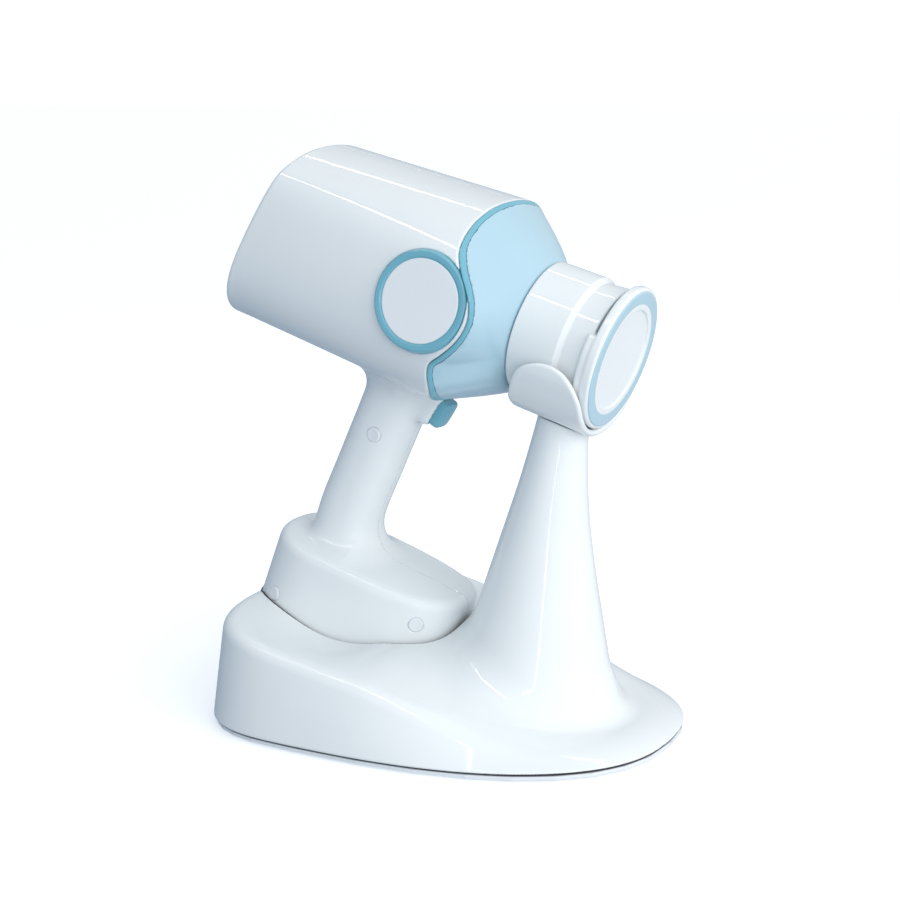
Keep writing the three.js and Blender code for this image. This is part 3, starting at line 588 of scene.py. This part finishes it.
def trigger(u, y, w):
    across, up, out = trigger_axes(u, y, w)
    middle = (TRIGGER_REACH - TRIGGER_DEPTH) / 2
    half = (TRIGGER_WIDTH / 2, TRIGGER_HEIGHT / 2, TRIGGER_REACH - middle)
    body = rounded_box(across, up, out - middle, half, TRIGGER_EDGE)
    crown = TRIGGER_REACH - across * across / 28 - (up / 12) ** 2
    return smax(body, out - crown, 2.4)


def rear_cover(u, y, w):
    out = rear_out(u, w)
    plate = smax(rear_outline(w / REAR_OPENING, y / REAR_OPENING) * REAR_OPENING + GAP,
                 np.maximum(out + REAR_COVER_RECESS, -REAR_COVER_BACK - out), 1.2)
    half_w, half_h = DISPLAY_SIZE[0] / 2 + GAP, DISPLAY_SIZE[1] / 2 + GAP
    along = w * math.hypot(1, REAR_SLOPE)
    pocket = rounded_box(y, along - DISPLAY_UP, out - 10, (half_w, half_h, 10 + DISPLAY_SEAT), 3.5)
    plate = smax(plate, -pocket, 0.7)
    half = (half_w - DISPLAY_BORDER, half_h - DISPLAY_BORDER, 20)
    plate = np.maximum(plate, -rounded_box(y, along - DISPLAY_UP, out, half, 2))
    for side, height in KEY_SPOTS.values():
        plate = smax(plate, KEY_RADIUS + GAP - np.hypot(y + side, along - height), 0.7)
    return plate


# ---------------------------------------------------------------- stand fields
base_outline = Polar(egg(**BASE), PLAN_SOFTNESS, centre=BASE_CENTRE)


def stand_body(x, y, z):
    x = x - ORIGIN_SHIFT
    reach, cosine = base_outline.at(x - BASE_CENTRE[0], y)
    away = np.hypot(x - BASE_CENTRE[0], y)
    plan = (away - reach) * cosine
    rim = smooth_interp(x, *np.array(BASE_RIM, float).T)
    lean = smooth_interp(x, *np.array(BASE_LEAN, float).T) / (rim - BASE_FOOT)
    side = (plan + (z - BASE_FOOT) * lean) / np.hypot(1, lean)
    middle = smooth_interp(x, *np.array(BASE_MIDDLE, float).T)
    depth = np.clip((1 - away / reach - BASE_DISH_START) / BASE_DISH_LENGTH, 0, 1)
    depth = depth * depth * (3 - 2 * depth)
    top = rim + (middle - rim) * depth
    base = smax(side, (z - top) * 0.96, np.clip(rim * BASE_EDGE_SHARE, *BASE_EDGE_BOUNDS))
    heights, centres, a, b = POST_SECTIONS.T
    centre = smooth_interp(z, heights, centres)
    a = smooth_interp(z, heights, a)
    b = smooth_interp(z, heights, b)
    post = (np.hypot((x - centre) / a, y / b) - 1) * (a + b) / 2 * 0.97
    return smin(base, post, np.interp(x, POST_BLEND_PLACES, POST_BLENDS))


def stand_shell(x, y, z):
    body = stand_body(x, y, z)
    shell = np.maximum(body, -(body + STAND_WALL))
    u, _, w = to_dock(np.stack([x, y, z], 1)).T
    slot_floor = BLOCK_BOTTOM - SLOT_DEPTH
    slot = np.maximum(block_outline(u, y) - SLOT_GAP, slot_floor - w)
    slot_wall = np.maximum(slot - STAND_WALL, slot_floor - STAND_WALL - w)
    shell = np.minimum(shell, np.maximum(slot_wall, body))
    shell = smax(shell, -slot, SLOT_EDGE)
    above = np.where(w > 0, 60, 0)
    shell = smax(shell, SADDLE_OUTER + GAP - np.hypot(y, w) + above, 0.8)
    hole = np.maximum(np.hypot(y, z - INLET_HEIGHT) - INLET_RADIUS, x - INLET_PLACE)
    shell = smax(shell, -hole, 0.8)
    return smax(shell, BASE_FOOT - z, 1.6)


# ---------------------------------------------------------------- meshing
def skin(field, low, high, step):
    """Vertices, quads and normals of a field's zero surface, on a sparse grid."""
    block_cells = 8
    low = np.array(low, float)
    counts = np.ceil((np.array(high, float) - low) / (step * block_cells)).astype(int)
    size = counts * block_cells + 1
    centres = [low[i] + (np.arange(counts[i]) + 0.5) * block_cells * step for i in range(3)]
    grid = np.stack(np.meshgrid(*centres, indexing="ij"), -1).reshape(-1, 3)
    rough = field(*grid.T).reshape(counts)
    near = np.abs(rough) < block_cells * step * 1.35
    values = np.sign(rough)
    for axis in range(3):
        values = np.repeat(values, block_cells, axis)
    values = np.pad(values, ((0, 1), (0, 1), (0, 1)), mode="edge").astype(np.float32)
    offsets = np.stack(np.meshgrid(*[np.arange(block_cells + 1)] * 3, indexing="ij"), -1).reshape(-1, 3)
    blocks = np.argwhere(near)
    for start in range(0, len(blocks), 200):
        corner = blocks[start:start + 200] * block_cells
        index = (corner[:, None, :] + offsets[None]).reshape(-1, 3)
        values[tuple(index.T)] = field(*(low + index * step).T)
    inside = values < 0
    cell_id = np.full(size, -1, np.int32)
    sums = []
    edges = []
    for axis in range(3):
        a = np.moveaxis(inside, axis, 0)
        changed = np.moveaxis(a[1:] != a[:-1], 0, axis)
        start = np.argwhere(changed)
        for other in range(3):
            if other != axis:
                start = start[(start[:, other] > 0) & (start[:, other] < size[other] - 1)]
        end = start.copy()
        end[:, axis] += 1
        v0, v1 = values[tuple(start.T)], values[tuple(end.T)]
        crossing = start.astype(float)
        crossing[:, axis] += v0 / (v0 - v1)
        first, second = [i for i in range(3) if i != axis]
        cells = []
        for d1, d2 in ((0, 0), (1, 0), (1, 1), (0, 1)):
            cell = start.copy()
            cell[:, first] -= d1
            cell[:, second] -= d2
            cells.append(cell)
        edges.append((cells, crossing, v0 < 0, axis))
        for cell in cells:
            sums.append((cell, crossing))
    all_cells = np.concatenate([c for c, _ in sums])
    all_points = np.concatenate([p for _, p in sums])
    flat = np.ravel_multi_index(tuple(all_cells.T), size)
    unique, inverse = np.unique(flat, return_inverse=True)
    total = np.bincount(inverse, minlength=len(unique))
    means = [np.bincount(inverse, all_points[:, i], len(unique)) / total for i in range(3)]
    vertices = np.stack(means, 1)
    cell_id.reshape(-1)[unique] = np.arange(len(unique))
    quads = []
    for cells, _, outward, axis in edges:
        ids = np.stack([cell_id[tuple(c.T)] for c in cells], 1)
        flip = outward if axis != 1 else ~outward
        ids[~flip] = ids[~flip][:, ::-1]
        quads.append(ids)
    vertices = low + vertices * step
    for _ in range(4):
        value, gradient = slope(field, vertices)
        length = np.maximum((gradient ** 2).sum(1), 0.1)
        move = gradient * (value / length)[:, None]
        reach = np.linalg.norm(move, axis=1)
        move *= (np.minimum(reach, step * 0.4) / np.maximum(reach, 1e-9))[:, None]
        vertices = vertices - move
    _, gradient = slope(field, vertices)
    normals = gradient / np.maximum(np.linalg.norm(gradient, axis=1), 1e-6)[:, None]
    return vertices, np.concatenate(quads), normals


def slope(field, points, reach=0.05):
    value = field(*points.T)
    gradient = np.empty(points.shape)
    for i in range(3):
        ahead, behind = points.copy(), points.copy()
        ahead[:, i] += reach
        behind[:, i] -= reach
        gradient[:, i] = (field(*ahead.T) - field(*behind.T)) / (2 * reach)
    return value, gradient


def link(name, mesh, surface, body):
    """A piece in the scene, riding on a body; its surface is a material and a slot name, of which only the
    material is used.
    """
    material, slot = surface
    piece = bpy.data.objects.new(name, mesh)
    bpy.context.scene.collection.objects.link(piece)
    mesh.materials.append(material)
    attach(piece, body)
    return piece


def field_piece(name, field, low, high, step, surface, body, docked=True):
    vertices, quads, normals = skin(field, low, high, step)
    matrix = DOCK_MATRIX if docked else Matrix.Identity(4)
    mesh = bpy.data.meshes.new(name)
    mesh.vertices.add(len(vertices))
    mesh.vertices.foreach_set("co", (vertices / 1000).astype(np.float32).ravel())
    mesh.loops.add(len(quads) * 4)
    mesh.loops.foreach_set("vertex_index", quads.astype(np.int32).ravel())
    mesh.polygons.add(len(quads))
    mesh.polygons.foreach_set("loop_start", np.arange(0, len(quads) * 4, 4, dtype=np.int32))
    mesh.update(calc_edges=True)
    mesh.polygons.foreach_set("use_smooth", np.ones(len(quads), bool))
    mesh.transform(matrix)
    mesh.normals_split_custom_set_from_vertices(normals @ np.array(matrix.to_3x3()).T)
    return link(name, mesh, surface, body)


def rounded_profile(corners, steps=5):
    """A closed profile of (radius, height, corner radius) with its corners rounded."""
    points = []
    count = len(corners)
    for i, (r, z, fillet) in enumerate(corners):
        here = Vector((r, z))
        if fillet <= 0:
            points.append(here)
            continue
        before = (Vector(corners[i - 1][:2]) - here).normalized()
        after = (Vector(corners[(i + 1) % count][:2]) - here).normalized()
        half = before.angle(after) / 2
        reach = fillet / math.tan(half)
        centre = here + (before + after).normalized() * (fillet / math.sin(half))
        start, end = here + before * reach - centre, here + after * reach - centre
        for k in range(steps + 1):
            points.append(centre + start.slerp(end, k / steps, start))
    return points


def lathe(name, corners, matrix, surface, body, segments=144):
    """A profile of (radius, height, corner radius) turned about the local z axis."""
    profile = [p / 1000 for p in rounded_profile(corners)]
    mesh_data = bmesh.new()
    rings = []
    for p in profile:
        if p.x < 1e-7:
            rings.append([mesh_data.verts.new((0, 0, p.y))])
            continue
        ring = []
        for k in range(segments):
            angle = 2 * math.pi * k / segments
            ring.append(mesh_data.verts.new((p.x * math.cos(angle), p.x * math.sin(angle), p.y)))
        rings.append(ring)
    for a, b in zip(rings, rings[1:] + rings[:1]):
        if len(a) == 1 and len(b) == 1:
            continue
        for k in range(segments):
            n = (k + 1) % segments
            if len(a) == 1:
                mesh_data.faces.new((a[0], b[n], b[k]))
            elif len(b) == 1:
                mesh_data.faces.new((a[k], a[n], b[0]))
            else:
                mesh_data.faces.new((a[k], a[n], b[n], b[k]))
    bmesh.ops.recalc_face_normals(mesh_data, faces=mesh_data.faces)
    mesh = bpy.data.meshes.new(name)
    mesh_data.to_mesh(mesh)
    mesh_data.free()
    mesh.polygons.foreach_set("use_smooth", np.ones(len(mesh.polygons), bool))
    mesh.transform(matrix)
    piece = link(name, mesh, surface, body)
    piece.modifiers.new("normals", "WEIGHTED_NORMAL").keep_sharp = False
    return piece


def bar(name, size, at, surface, body, up=0.0, out=0.0):
    """A rounded bar on a key: its size across, up and out, and how far up and out its middle is."""
    cube = bmesh.new()
    bmesh.ops.create_cube(cube, size=1)
    bmesh.ops.scale(cube, vec=[v / 1000 for v in size], verts=cube.verts)
    bmesh.ops.bevel(cube, geom=cube.edges, offset=min(size) * 0.4 / 1000, segments=3, profile=0.5,
                    affect="EDGES")
    mesh = bpy.data.meshes.new(name)
    cube.to_mesh(mesh)
    cube.free()
    mesh.transform(at @ Matrix.Translation(Vector((0, up, out)) / 1000))
    return link(name, mesh, surface, body)


def metric(matrix):
    """A matrix in millimetres, in metres."""
    out = matrix.copy()
    out.translation = out.translation / 1000
    return out


# ---------------------------------------------------------------- materials
def shade(name, colour, roughness, metallic=0.0, coat=0.0, tone=0.03, grain=900, bump=0.02, mottle=26,
          emission=0.0, transmission=0.0):
    """Moulded or machined stuff: a little tone and gloss variation, and a fine skin."""
    material = bpy.data.materials.new("look_" + name)
    material.use_nodes = True
    nodes, links = material.node_tree.nodes, material.node_tree.links
    shader = nodes["Principled BSDF"]
    shader.inputs["Metallic"].default_value = metallic
    shader.inputs["Coat Weight"].default_value = coat
    shader.inputs["Coat Roughness"].default_value = 0.06
    shader.inputs["Transmission Weight"].default_value = transmission
    place = nodes.new("ShaderNodeTexCoord")
    clouds = nodes.new("ShaderNodeTexNoise")
    clouds.inputs["Scale"].default_value = mottle
    clouds.inputs["Detail"].default_value = 4
    links.new(place.outputs["Object"], clouds.inputs["Vector"])
    ramp = nodes.new("ShaderNodeValToRGB")
    ramp.color_ramp.elements[0].position = 0.3
    ramp.color_ramp.elements[1].position = 0.7
    ramp.color_ramp.elements[0].color = [c * (1 - tone) for c in colour] + [1]
    ramp.color_ramp.elements[1].color = [min(1, c * (1 + tone)) for c in colour] + [1]
    links.new(clouds.outputs["Fac"], ramp.inputs["Fac"])
    links.new(ramp.outputs["Color"], shader.inputs["Base Color"])
    gloss = nodes.new("ShaderNodeMapRange")
    gloss.inputs["To Min"].default_value = roughness * 0.85
    gloss.inputs["To Max"].default_value = roughness * 1.15
    links.new(clouds.outputs["Fac"], gloss.inputs["Value"])
    links.new(gloss.outputs["Result"], shader.inputs["Roughness"])
    fine = nodes.new("ShaderNodeTexNoise")
    fine.inputs["Scale"].default_value = grain
    fine.inputs["Detail"].default_value = 2
    links.new(place.outputs["Object"], fine.inputs["Vector"])
    dent = nodes.new("ShaderNodeBump")
    dent.inputs["Strength"].default_value = bump
    dent.inputs["Distance"].default_value = 0.0002
    links.new(fine.outputs["Fac"], dent.inputs["Height"])
    links.new(dent.outputs["Normal"], shader.inputs["Normal"])
    if emission:
        shader.inputs["Emission Color"].default_value = (*colour, 1)
        shader.inputs["Emission Strength"].default_value = emission
    return material


WHITE = shade("white_plastic", (0.80, 0.843, 0.857), 0.08, tone=0.012, bump=0.01)
PALE = shade("pale_plastic", (0.77, 0.81, 0.84), 0.3, tone=0.015)
KEYS = shade("key_plastic", (0.78, 0.81, 0.84), 0.3, tone=0.015)
LIGHT_BLUE = shade("light_blue_plastic", (0.41, 0.60, 0.70), 0.09, tone=0.015)
MID_BLUE = shade("mid_blue_plastic", (0.16, 0.43, 0.54), 0.1, tone=0.03)
DARK = shade("dark_plastic", (0.03, 0.03, 0.036), 0.5, tone=0.1, bump=0.2)
SCREEN = shade("display", (0.05, 0.10, 0.13), 0.3, tone=0.05)
DARK_GLASS = shade("dark_glass", (0.012, 0.016, 0.022), 0.06, coat=0.5, tone=0.05, bump=0)
TUBE_GLASS = shade("tube_glass", (0.5, 0.6, 0.62), 0.05, transmission=0.8)
RUBBER = shade("rubber", (0.035, 0.035, 0.04), 0.75, tone=0.15, bump=0.4, grain=2500)
BOARD = shade("circuit_board", (0.02, 0.16, 0.06), 0.45, tone=0.12, mottle=300)
STEEL = shade("steel", (0.55, 0.56, 0.58), 0.32, metallic=1.0, tone=0.05, mottle=120)
LEAD = shade("lead", (0.25, 0.26, 0.28), 0.55, metallic=1.0, tone=0.12, mottle=90, bump=0.2)
BATTERY = shade("battery_wrap", (0.10, 0.30, 0.50), 0.35, tone=0.06)
GOLD = shade("gold_contact", (0.80, 0.55, 0.20), 0.22, metallic=1.0, tone=0.04, mottle=300)
FINISHES = {
    material.name.removeprefix("look_"): material for material in (
        WHITE, PALE, KEYS, LIGHT_BLUE, MID_BLUE, DARK, SCREEN, DARK_GLASS, TUBE_GLASS, RUBBER, BOARD, STEEL,
        LEAD, BATTERY, GOLD)
}

for node in frame["nodes"].values():
    node.data.materials[0] = FINISHES[node.data.materials[0].name]


def finish(slot):
    """A slot's material and its name."""
    return FINISHES[slot], slot


# ---------------------------------------------------------------- handset pieces
ALONG_BEAM = DOCK_MATRIX @ Matrix.Rotation(math.pi / 2, 4, "Y")
SIDES = {"right": -1, "left": 1}

for name, side in SIDES.items():
    low = (-222, -66 if side < 0 else -1, -202)
    high = (-38, 1 if side < 0 else 66, 62)
    piece = field_piece(f"housing_{name}_shell", lambda u, y, w, side=side: housing(u, y, w, side),
                        low, high, MESH_STEP, finish("white_plastic"), "handset")
    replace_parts(piece, f"housing_{name}")

piece = field_piece("nose_trim_band", trim_band, (-92, -66, -60), (-45, 66, 62), FINE_STEP,
                    finish("mid_blue_plastic"), "handset")
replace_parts(piece, "nose_trim")
piece = field_piece("nose_cover_shell", nose_cover, (-92, -64, -60), (-46, 64, 62), FINE_STEP,
                    finish("light_blue_plastic"), "handset")
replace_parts(piece, "nose_cover")

NECK_FRONT = 1 - CAP_GRIP_THICKNESS
collar = lathe("collar", [
    (COLLAR_BORE, NOSE_END, 0.4), (CONE_RADIUS, NOSE_END, 1.2),
    (CONE_RADIUS, COLLAR_FRONT - COLLAR_STEP, 0.8), (NECK_RADIUS, COLLAR_FRONT, 0.8),
    (NECK_RADIUS, NECK_FRONT, 0.3), (COLLAR_BORE, NECK_FRONT, 0.3),
], ALONG_BEAM, finish("white_plastic"), "handset", 192)
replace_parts(collar, "cone_collar")
piece = field_piece("cap", cap, (-12, -40, -40), (2, 40, 40), FINE_STEP, finish("white_plastic"), "handset")
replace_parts(piece, "cone_cap")
face_ring = lathe("face_ring", [
    (FACE_RING_INNER_RADIUS, FACE_RING_BACK, 0.1), (FACE_RING_RADIUS, FACE_RING_BACK, 0.1),
    (FACE_RING_RADIUS, FACE_RING_FACE, 0.25), (FACE_RING_INNER_RADIUS, FACE_RING_FACE, 0.25),
], ALONG_BEAM, finish("light_blue_plastic"), "handset", 192)
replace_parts(face_ring, "cone_face_ring")
window = lathe("window", [
    (0, WINDOW_BACK, 0), (WINDOW_RADIUS, WINDOW_BACK, 0.1), (WINDOW_RADIUS, WINDOW_FACE, 0.1),
    (0, WINDOW_FACE + 0.2, 0),
], ALONG_BEAM, finish("white_plastic"), "handset", 192)
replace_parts(window, "exit_window")
lathe("window_lip", [
    (WINDOW_RADIUS + SEAM, WINDOW_BACK - 0.1, 0.1), (WINDOW_RADIUS + WINDOW_LIP, WINDOW_BACK - 0.1, 0.1),
    (WINDOW_RADIUS + WINDOW_LIP, -0.05, 0.4), (WINDOW_RADIUS - WINDOW_LIP, -0.05, 0.4),
    (WINDOW_RADIUS - WINDOW_LIP, WINDOW_FACE + 0.1, 0.1), (WINDOW_RADIUS + SEAM, WINDOW_FACE + 0.1, 0),
], ALONG_BEAM, finish("white_plastic"), "handset", 192)

for name, side in SIDES.items():
    turn = Matrix.Rotation(-side * (math.pi / 2 - BADGE_LEAN), 4, "X")
    place = Matrix.Translation((BADGE_CENTRE[0], side * BADGE_CENTRE[1], BADGE_CENTRE[2])) @ turn
    at = DOCK_MATRIX @ metric(place)
    ring = lathe(f"badge_ring_{name}_part", [
        (BADGE_INNER_RADIUS, BADGE_BACK, 0.1), (BADGE_RADIUS, BADGE_BACK, 0.1),
        (BADGE_RADIUS, BADGE_PROUD, 1.2), (BADGE_INNER_RADIUS + 0.4, BADGE_PROUD, 1.3),
        (BADGE_INNER_RADIUS, 0, 0.1),
    ], at, finish("mid_blue_plastic"), "handset")
    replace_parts(ring, f"badge_ring_{name}")
    plate = lathe(f"badge_disc_{name}_part", [
        (0, BADGE_BACK, 0), (BADGE_INNER_RADIUS - GAP, BADGE_BACK, 0.1),
        (BADGE_INNER_RADIUS - GAP, -0.1, 0.4), (0, 0.35, 0),
    ], at, finish("pale_plastic"), "handset")
    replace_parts(plate, f"badge_disc_{name}")

for name, matrix in PLUG_FRAMES.items():
    at = DOCK_MATRIX @ metric(matrix)
    plug = lathe(f"screw_cover_{name}_part", [
        (0, PLUG_BACK, 0), (PLUG_RADIUS, PLUG_BACK, 0.1), (PLUG_RADIUS, -0.15, 0.4), (0, 0.05, 0),
    ], at, finish("pale_plastic"), "handset", 64)
    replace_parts(plug, f"screw_cover_{name}")
    # A dark ring down in the gap round each screw cover: painted shade standing in for the shadow in the gap
    inner, outer = PLUG_RADIUS - 0.1, PLUG_RADIUS + PLUG_GAP + 0.1
    lathe(f"screw_cover_{name}_gap_painted_shade", [(inner, -1.2, 0), (outer, -1.2, 0), (outer, -0.7, 0), (inner, -0.7, 0)],
          at, finish("dark_plastic"), "handset", 64)

piece = field_piece("trigger_button", trigger, (-102, -9, -78), (-74, 9, -50), FINE_STEP,
                    finish("mid_blue_plastic"), "trigger")
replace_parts(piece, "trigger")
piece = field_piece("rear_panel", rear_cover, (-222, -50, -50), (-180, 50, 54), MESH_STEP,
                    finish("pale_plastic"), "handset")
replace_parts(piece, "rear_cover")

rear_up = Vector((REAR_SLOPE, 0, 1)).normalized()
rear_normal = Vector((-1, 0, REAR_SLOPE)).normalized()
REAR_FRAME = Matrix((
    (0, rear_up.x, rear_normal.x, HEAD_REAR), (-1, 0, 0, 0), (0, rear_up.z, rear_normal.z, 0), (0, 0, 0, 1),
))
for name, (side, height) in KEY_SPOTS.items():
    at = DOCK_MATRIX @ metric(REAR_FRAME @ Matrix.Translation((side, height, 0)))
    key = lathe(f"key_{name}_cap", [
        (0, KEY_BACK, 0), (KEY_RADIUS, KEY_BACK, 0.2), (KEY_RADIUS, KEY_CROWN - 0.4, 0.7), (0, KEY_CROWN, 0),
    ], at, finish("mid_blue_plastic" if name == "power" else "key_plastic"), f"key_{name}", 64)
    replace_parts(key, f"key_{name}")


def key_frame(name):
    """A key's frame, with its origin at the height of the signs."""
    side, height = KEY_SPOTS[name]
    return DOCK_MATRIX @ metric(REAR_FRAME @ Matrix.Translation((side, height, KEY_CROWN - 0.05)))


def ink_ring(name, inner, outer, key, surface):
    """A raised ring on a key."""
    half = INK_THICKNESS / 2
    corners = [(inner, -half, 0.1), (outer, -half, 0.1), (outer, half, 0.1), (inner, half, 0.1)]
    lathe(name, corners, key_frame(key), surface, f"key_{key}", 48)


INK = finish("mid_blue_plastic")
POWER_INK = finish("key_plastic")
bar("icon_minus", (5, 1.1, INK_THICKNESS), key_frame("minus"), INK, "key_minus")
bar("icon_plus_across", (5, 1.1, INK_THICKNESS), key_frame("plus"), INK, "key_plus")
bar("icon_plus_up", (1.1, 5, INK_THICKNESS), key_frame("plus"), INK, "key_plus")
for number, row in ((0, -1.6), (2, 0), (4, 1.6)):
    bar(f"icon_mode_{number}", (4.6, 0.8, INK_THICKNESS), key_frame("mode"), INK, "key_mode", up=row)
ink_ring("icon_tooth", 1.5, 2.3, "tooth", INK)
ink_ring("icon_power", 1.7, 2.5, "power", POWER_INK)
bar("icon_power_stroke", (0.8, 2.4, 0.35), key_frame("power"), POWER_INK, "key_power", up=1.9, out=0.05)

# ---------------------------------------------------------------- stand pieces
piece = field_piece("stand_casing", stand_shell, (-126, -104, 1), (128, 104, 175), MESH_STEP,
                    finish("white_plastic"), "stand", docked=False)
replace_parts(piece, "stand_shell")
piece = field_piece("saddle_cradle", saddle, (-48, -44, -45), (2, 44, -2), FINE_STEP,
                    finish("white_plastic"), "stand")
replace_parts(piece, "saddle")


def closed_rings(name, rings, surface, body):
    """A mesh of quads between rings of points in metres, closed from the last to the first."""
    sheet = bmesh.new()
    rings = [[sheet.verts.new(point) for point in ring] for ring in rings]
    for a, b in zip(rings, rings[1:] + rings[:1]):
        for k, corner in enumerate(a):
            n = (k + 1) % len(a)
            sheet.faces.new((corner, a[n], b[n], b[k]))
    bmesh.ops.recalc_face_normals(sheet, faces=sheet.faces)
    mesh = bpy.data.meshes.new(name)
    sheet.to_mesh(mesh)
    sheet.free()
    return link(name, mesh, surface, body)


def grown(plan, by, steps=240):
    """An egg's outline, larger all round."""
    larger = {**plan, **{key: plan[key] + by for key in ("half_width", "front", "rear")}}
    return egg(**larger, steps=steps)


def base_seal():
    """The dark ring that follows the foot of the base."""
    outline = grown(BASE, -SEAL["drawn"])
    inwards = np.array(BASE_CENTRE) - outline
    inwards /= np.linalg.norm(inwards, axis=1)[:, None]
    edge = 0.1
    section = [
        (edge, SEAL["low"]), (0, SEAL["low"] + edge), (0, SEAL["high"] - edge), (edge, SEAL["high"]),
        (SEAL["width"], SEAL["high"]), (SEAL["width"], SEAL["low"]),
    ]
    rings = []
    for inset, z in section:
        rings.append([((x + ORIGIN_SHIFT) / 1000, y / 1000, z / 1000) for x, y in outline + inwards * inset])
    return closed_rings("base_seal", rings, finish("dark_plastic"), "stand")


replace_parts(base_seal(), "base_gasket")


def cradle_lining_and_painted_shadow():
    """The dark lining between the battery block and the stand, just below the stand's surface; near the rear
    it comes close to the surface and paints the shadow line in the gap.
    """
    heights = np.linspace(BLOCK_BOTTOM, -140, 400)
    rings = []
    for grow, top in ((0.35, False), (0.75, False), (0.75, True), (0.35, True)):
        ring = []
        for u, y in grown(BLOCK, grow):
            foot = DOCK + u * BEAM + np.array((0, y, 0))
            place = foot + np.outer(heights, UP)
            inside = heights[stand_body(*place.T) < -np.interp(u, LINING_SHADOW_PLACES, LINING_SHADOW_DEPTHS)]
            reach = max(inside, default=BLOCK_BOTTOM + 0.5) if top else BLOCK_BOTTOM - 3
            ring.append((foot + reach * UP) / 1000)
        rings.append(ring)
    closed_rings("cradle_lining_and_painted_shadow", rings, finish("dark_plastic"), "stand")


cradle_lining_and_painted_shadow()

# ---------------------------------------------------------------- camera, floor, light
azimuth, elevation = math.radians(CAMERA_AZIMUTH), math.radians(CAMERA_ELEVATION)
back = Vector((
    math.sin(azimuth) * math.cos(elevation), -math.cos(azimuth) * math.cos(elevation), math.sin(elevation),
))
camera = bpy.data.objects.new("camera", bpy.data.cameras.new("camera"))
bpy.context.scene.collection.objects.link(camera)
camera.location = Vector((ORIGIN_SHIFT, 0, AIM_HEIGHT)) / 1000 + back * CAMERA_DISTANCE
camera.rotation_euler = back.to_track_quat("Z", "Y").to_euler()
camera.data.lens = CAMERA_LENS
camera.data.clip_end = 50
bpy.context.scene.camera = camera


def studio_floor():
    """A plain pale floor that throws no light on the object."""
    mesh = bpy.data.meshes.new("floor")
    corners = [(x * FLOOR_HALF_SIZE, y * FLOOR_HALF_SIZE, 0) for x, y in ((-1, -1), (1, -1), (1, 1), (-1, 1))]
    mesh.from_pydata(corners, [], [(0, 1, 2, 3)])
    piece = bpy.data.objects.new("floor", mesh)
    bpy.context.scene.collection.objects.link(piece)
    mesh.materials.append(shade("floor", FLOOR_COLOUR, 0.6, tone=0.004, bump=0, emission=FLOOR_GLOW))
    piece.visible_diffuse = False
    piece.visible_glossy = False
    piece.visible_shadow = False


def studio_world():
    """A pale studio round the object: bright above and to the right, blue-grey below and to the left."""
    world = bpy.data.worlds.new("studio")
    bpy.context.scene.world = world
    world.use_nodes = True
    nodes, links = world.node_tree.nodes, world.node_tree.links
    background = nodes["Background"]
    place = nodes.new("ShaderNodeTexCoord")
    dot = nodes.new("ShaderNodeVectorMath")
    dot.operation = "DOT_PRODUCT"
    dot.inputs[1].default_value = Vector(BRIGHT_SIDE).normalized()
    links.new(place.outputs["Generated"], dot.inputs[0])
    spread = nodes.new("ShaderNodeMapRange")
    spread.inputs["From Min"].default_value = -1
    links.new(dot.outputs["Value"], spread.inputs["Value"])
    ramp = nodes.new("ShaderNodeValToRGB")
    ramp.color_ramp.elements[0].color = (*STUDIO_DIM, 1)
    ramp.color_ramp.elements[1].color = (*STUDIO_BRIGHT, 1)
    links.new(spread.outputs["Result"], ramp.inputs["Fac"])
    path = nodes.new("ShaderNodeLightPath")
    seen = nodes.new("ShaderNodeMixRGB")
    seen.inputs["Color2"].default_value = (*BACKDROP, 1)
    links.new(path.outputs["Is Camera Ray"], seen.inputs["Fac"])
    links.new(ramp.outputs["Color"], seen.inputs["Color1"])
    links.new(seen.outputs["Color"], background.inputs["Color"])


def lamp(name, direction, distance, size, power, along=(0, 0, 1), glints=False):
    """A soft box facing the object, its first side along a direction; a glinting one only reflects."""
    light = bpy.data.lights.new(name, "AREA")
    light.shape = "RECTANGLE"
    light.size, light.size_y = size
    light.energy = power
    holder = bpy.data.objects.new(name, light)
    bpy.context.scene.collection.objects.link(holder)
    out = Vector(direction).normalized()
    holder.location = LIGHT_AIM + out * distance
    across = (Vector(along) - out * out.dot(Vector(along))).normalized()
    holder.rotation_euler = Matrix((across, out.cross(across), out)).transposed().to_euler()
    holder.visible_diffuse = not glints
    holder.visible_glossy = glints


studio_floor()
studio_world()
lamp("key", (0.95, -0.2, 0.2), 1.7, (1.3, 1.0), 8)
lamp("fill", (0.5, -0.6, 0.2), 0.8, (0.4, 0.4), 1.6)
lamp("strip_head", (-0.13, -0.44, 0.88), 1.2, (1.2, 0.015), 2.2, along=BEAM, glints=True)
lamp("strip_top", (-0.15, 0.44, 0.87), 1.2, (1.2, 0.015), 1.0, along=BEAM, glints=True)
lamp("strip_camera", tuple(back), 1.3, (0.9, 0.015), 1.2, glints=True)

bpy.context.scene.view_settings.view_transform = "Standard"
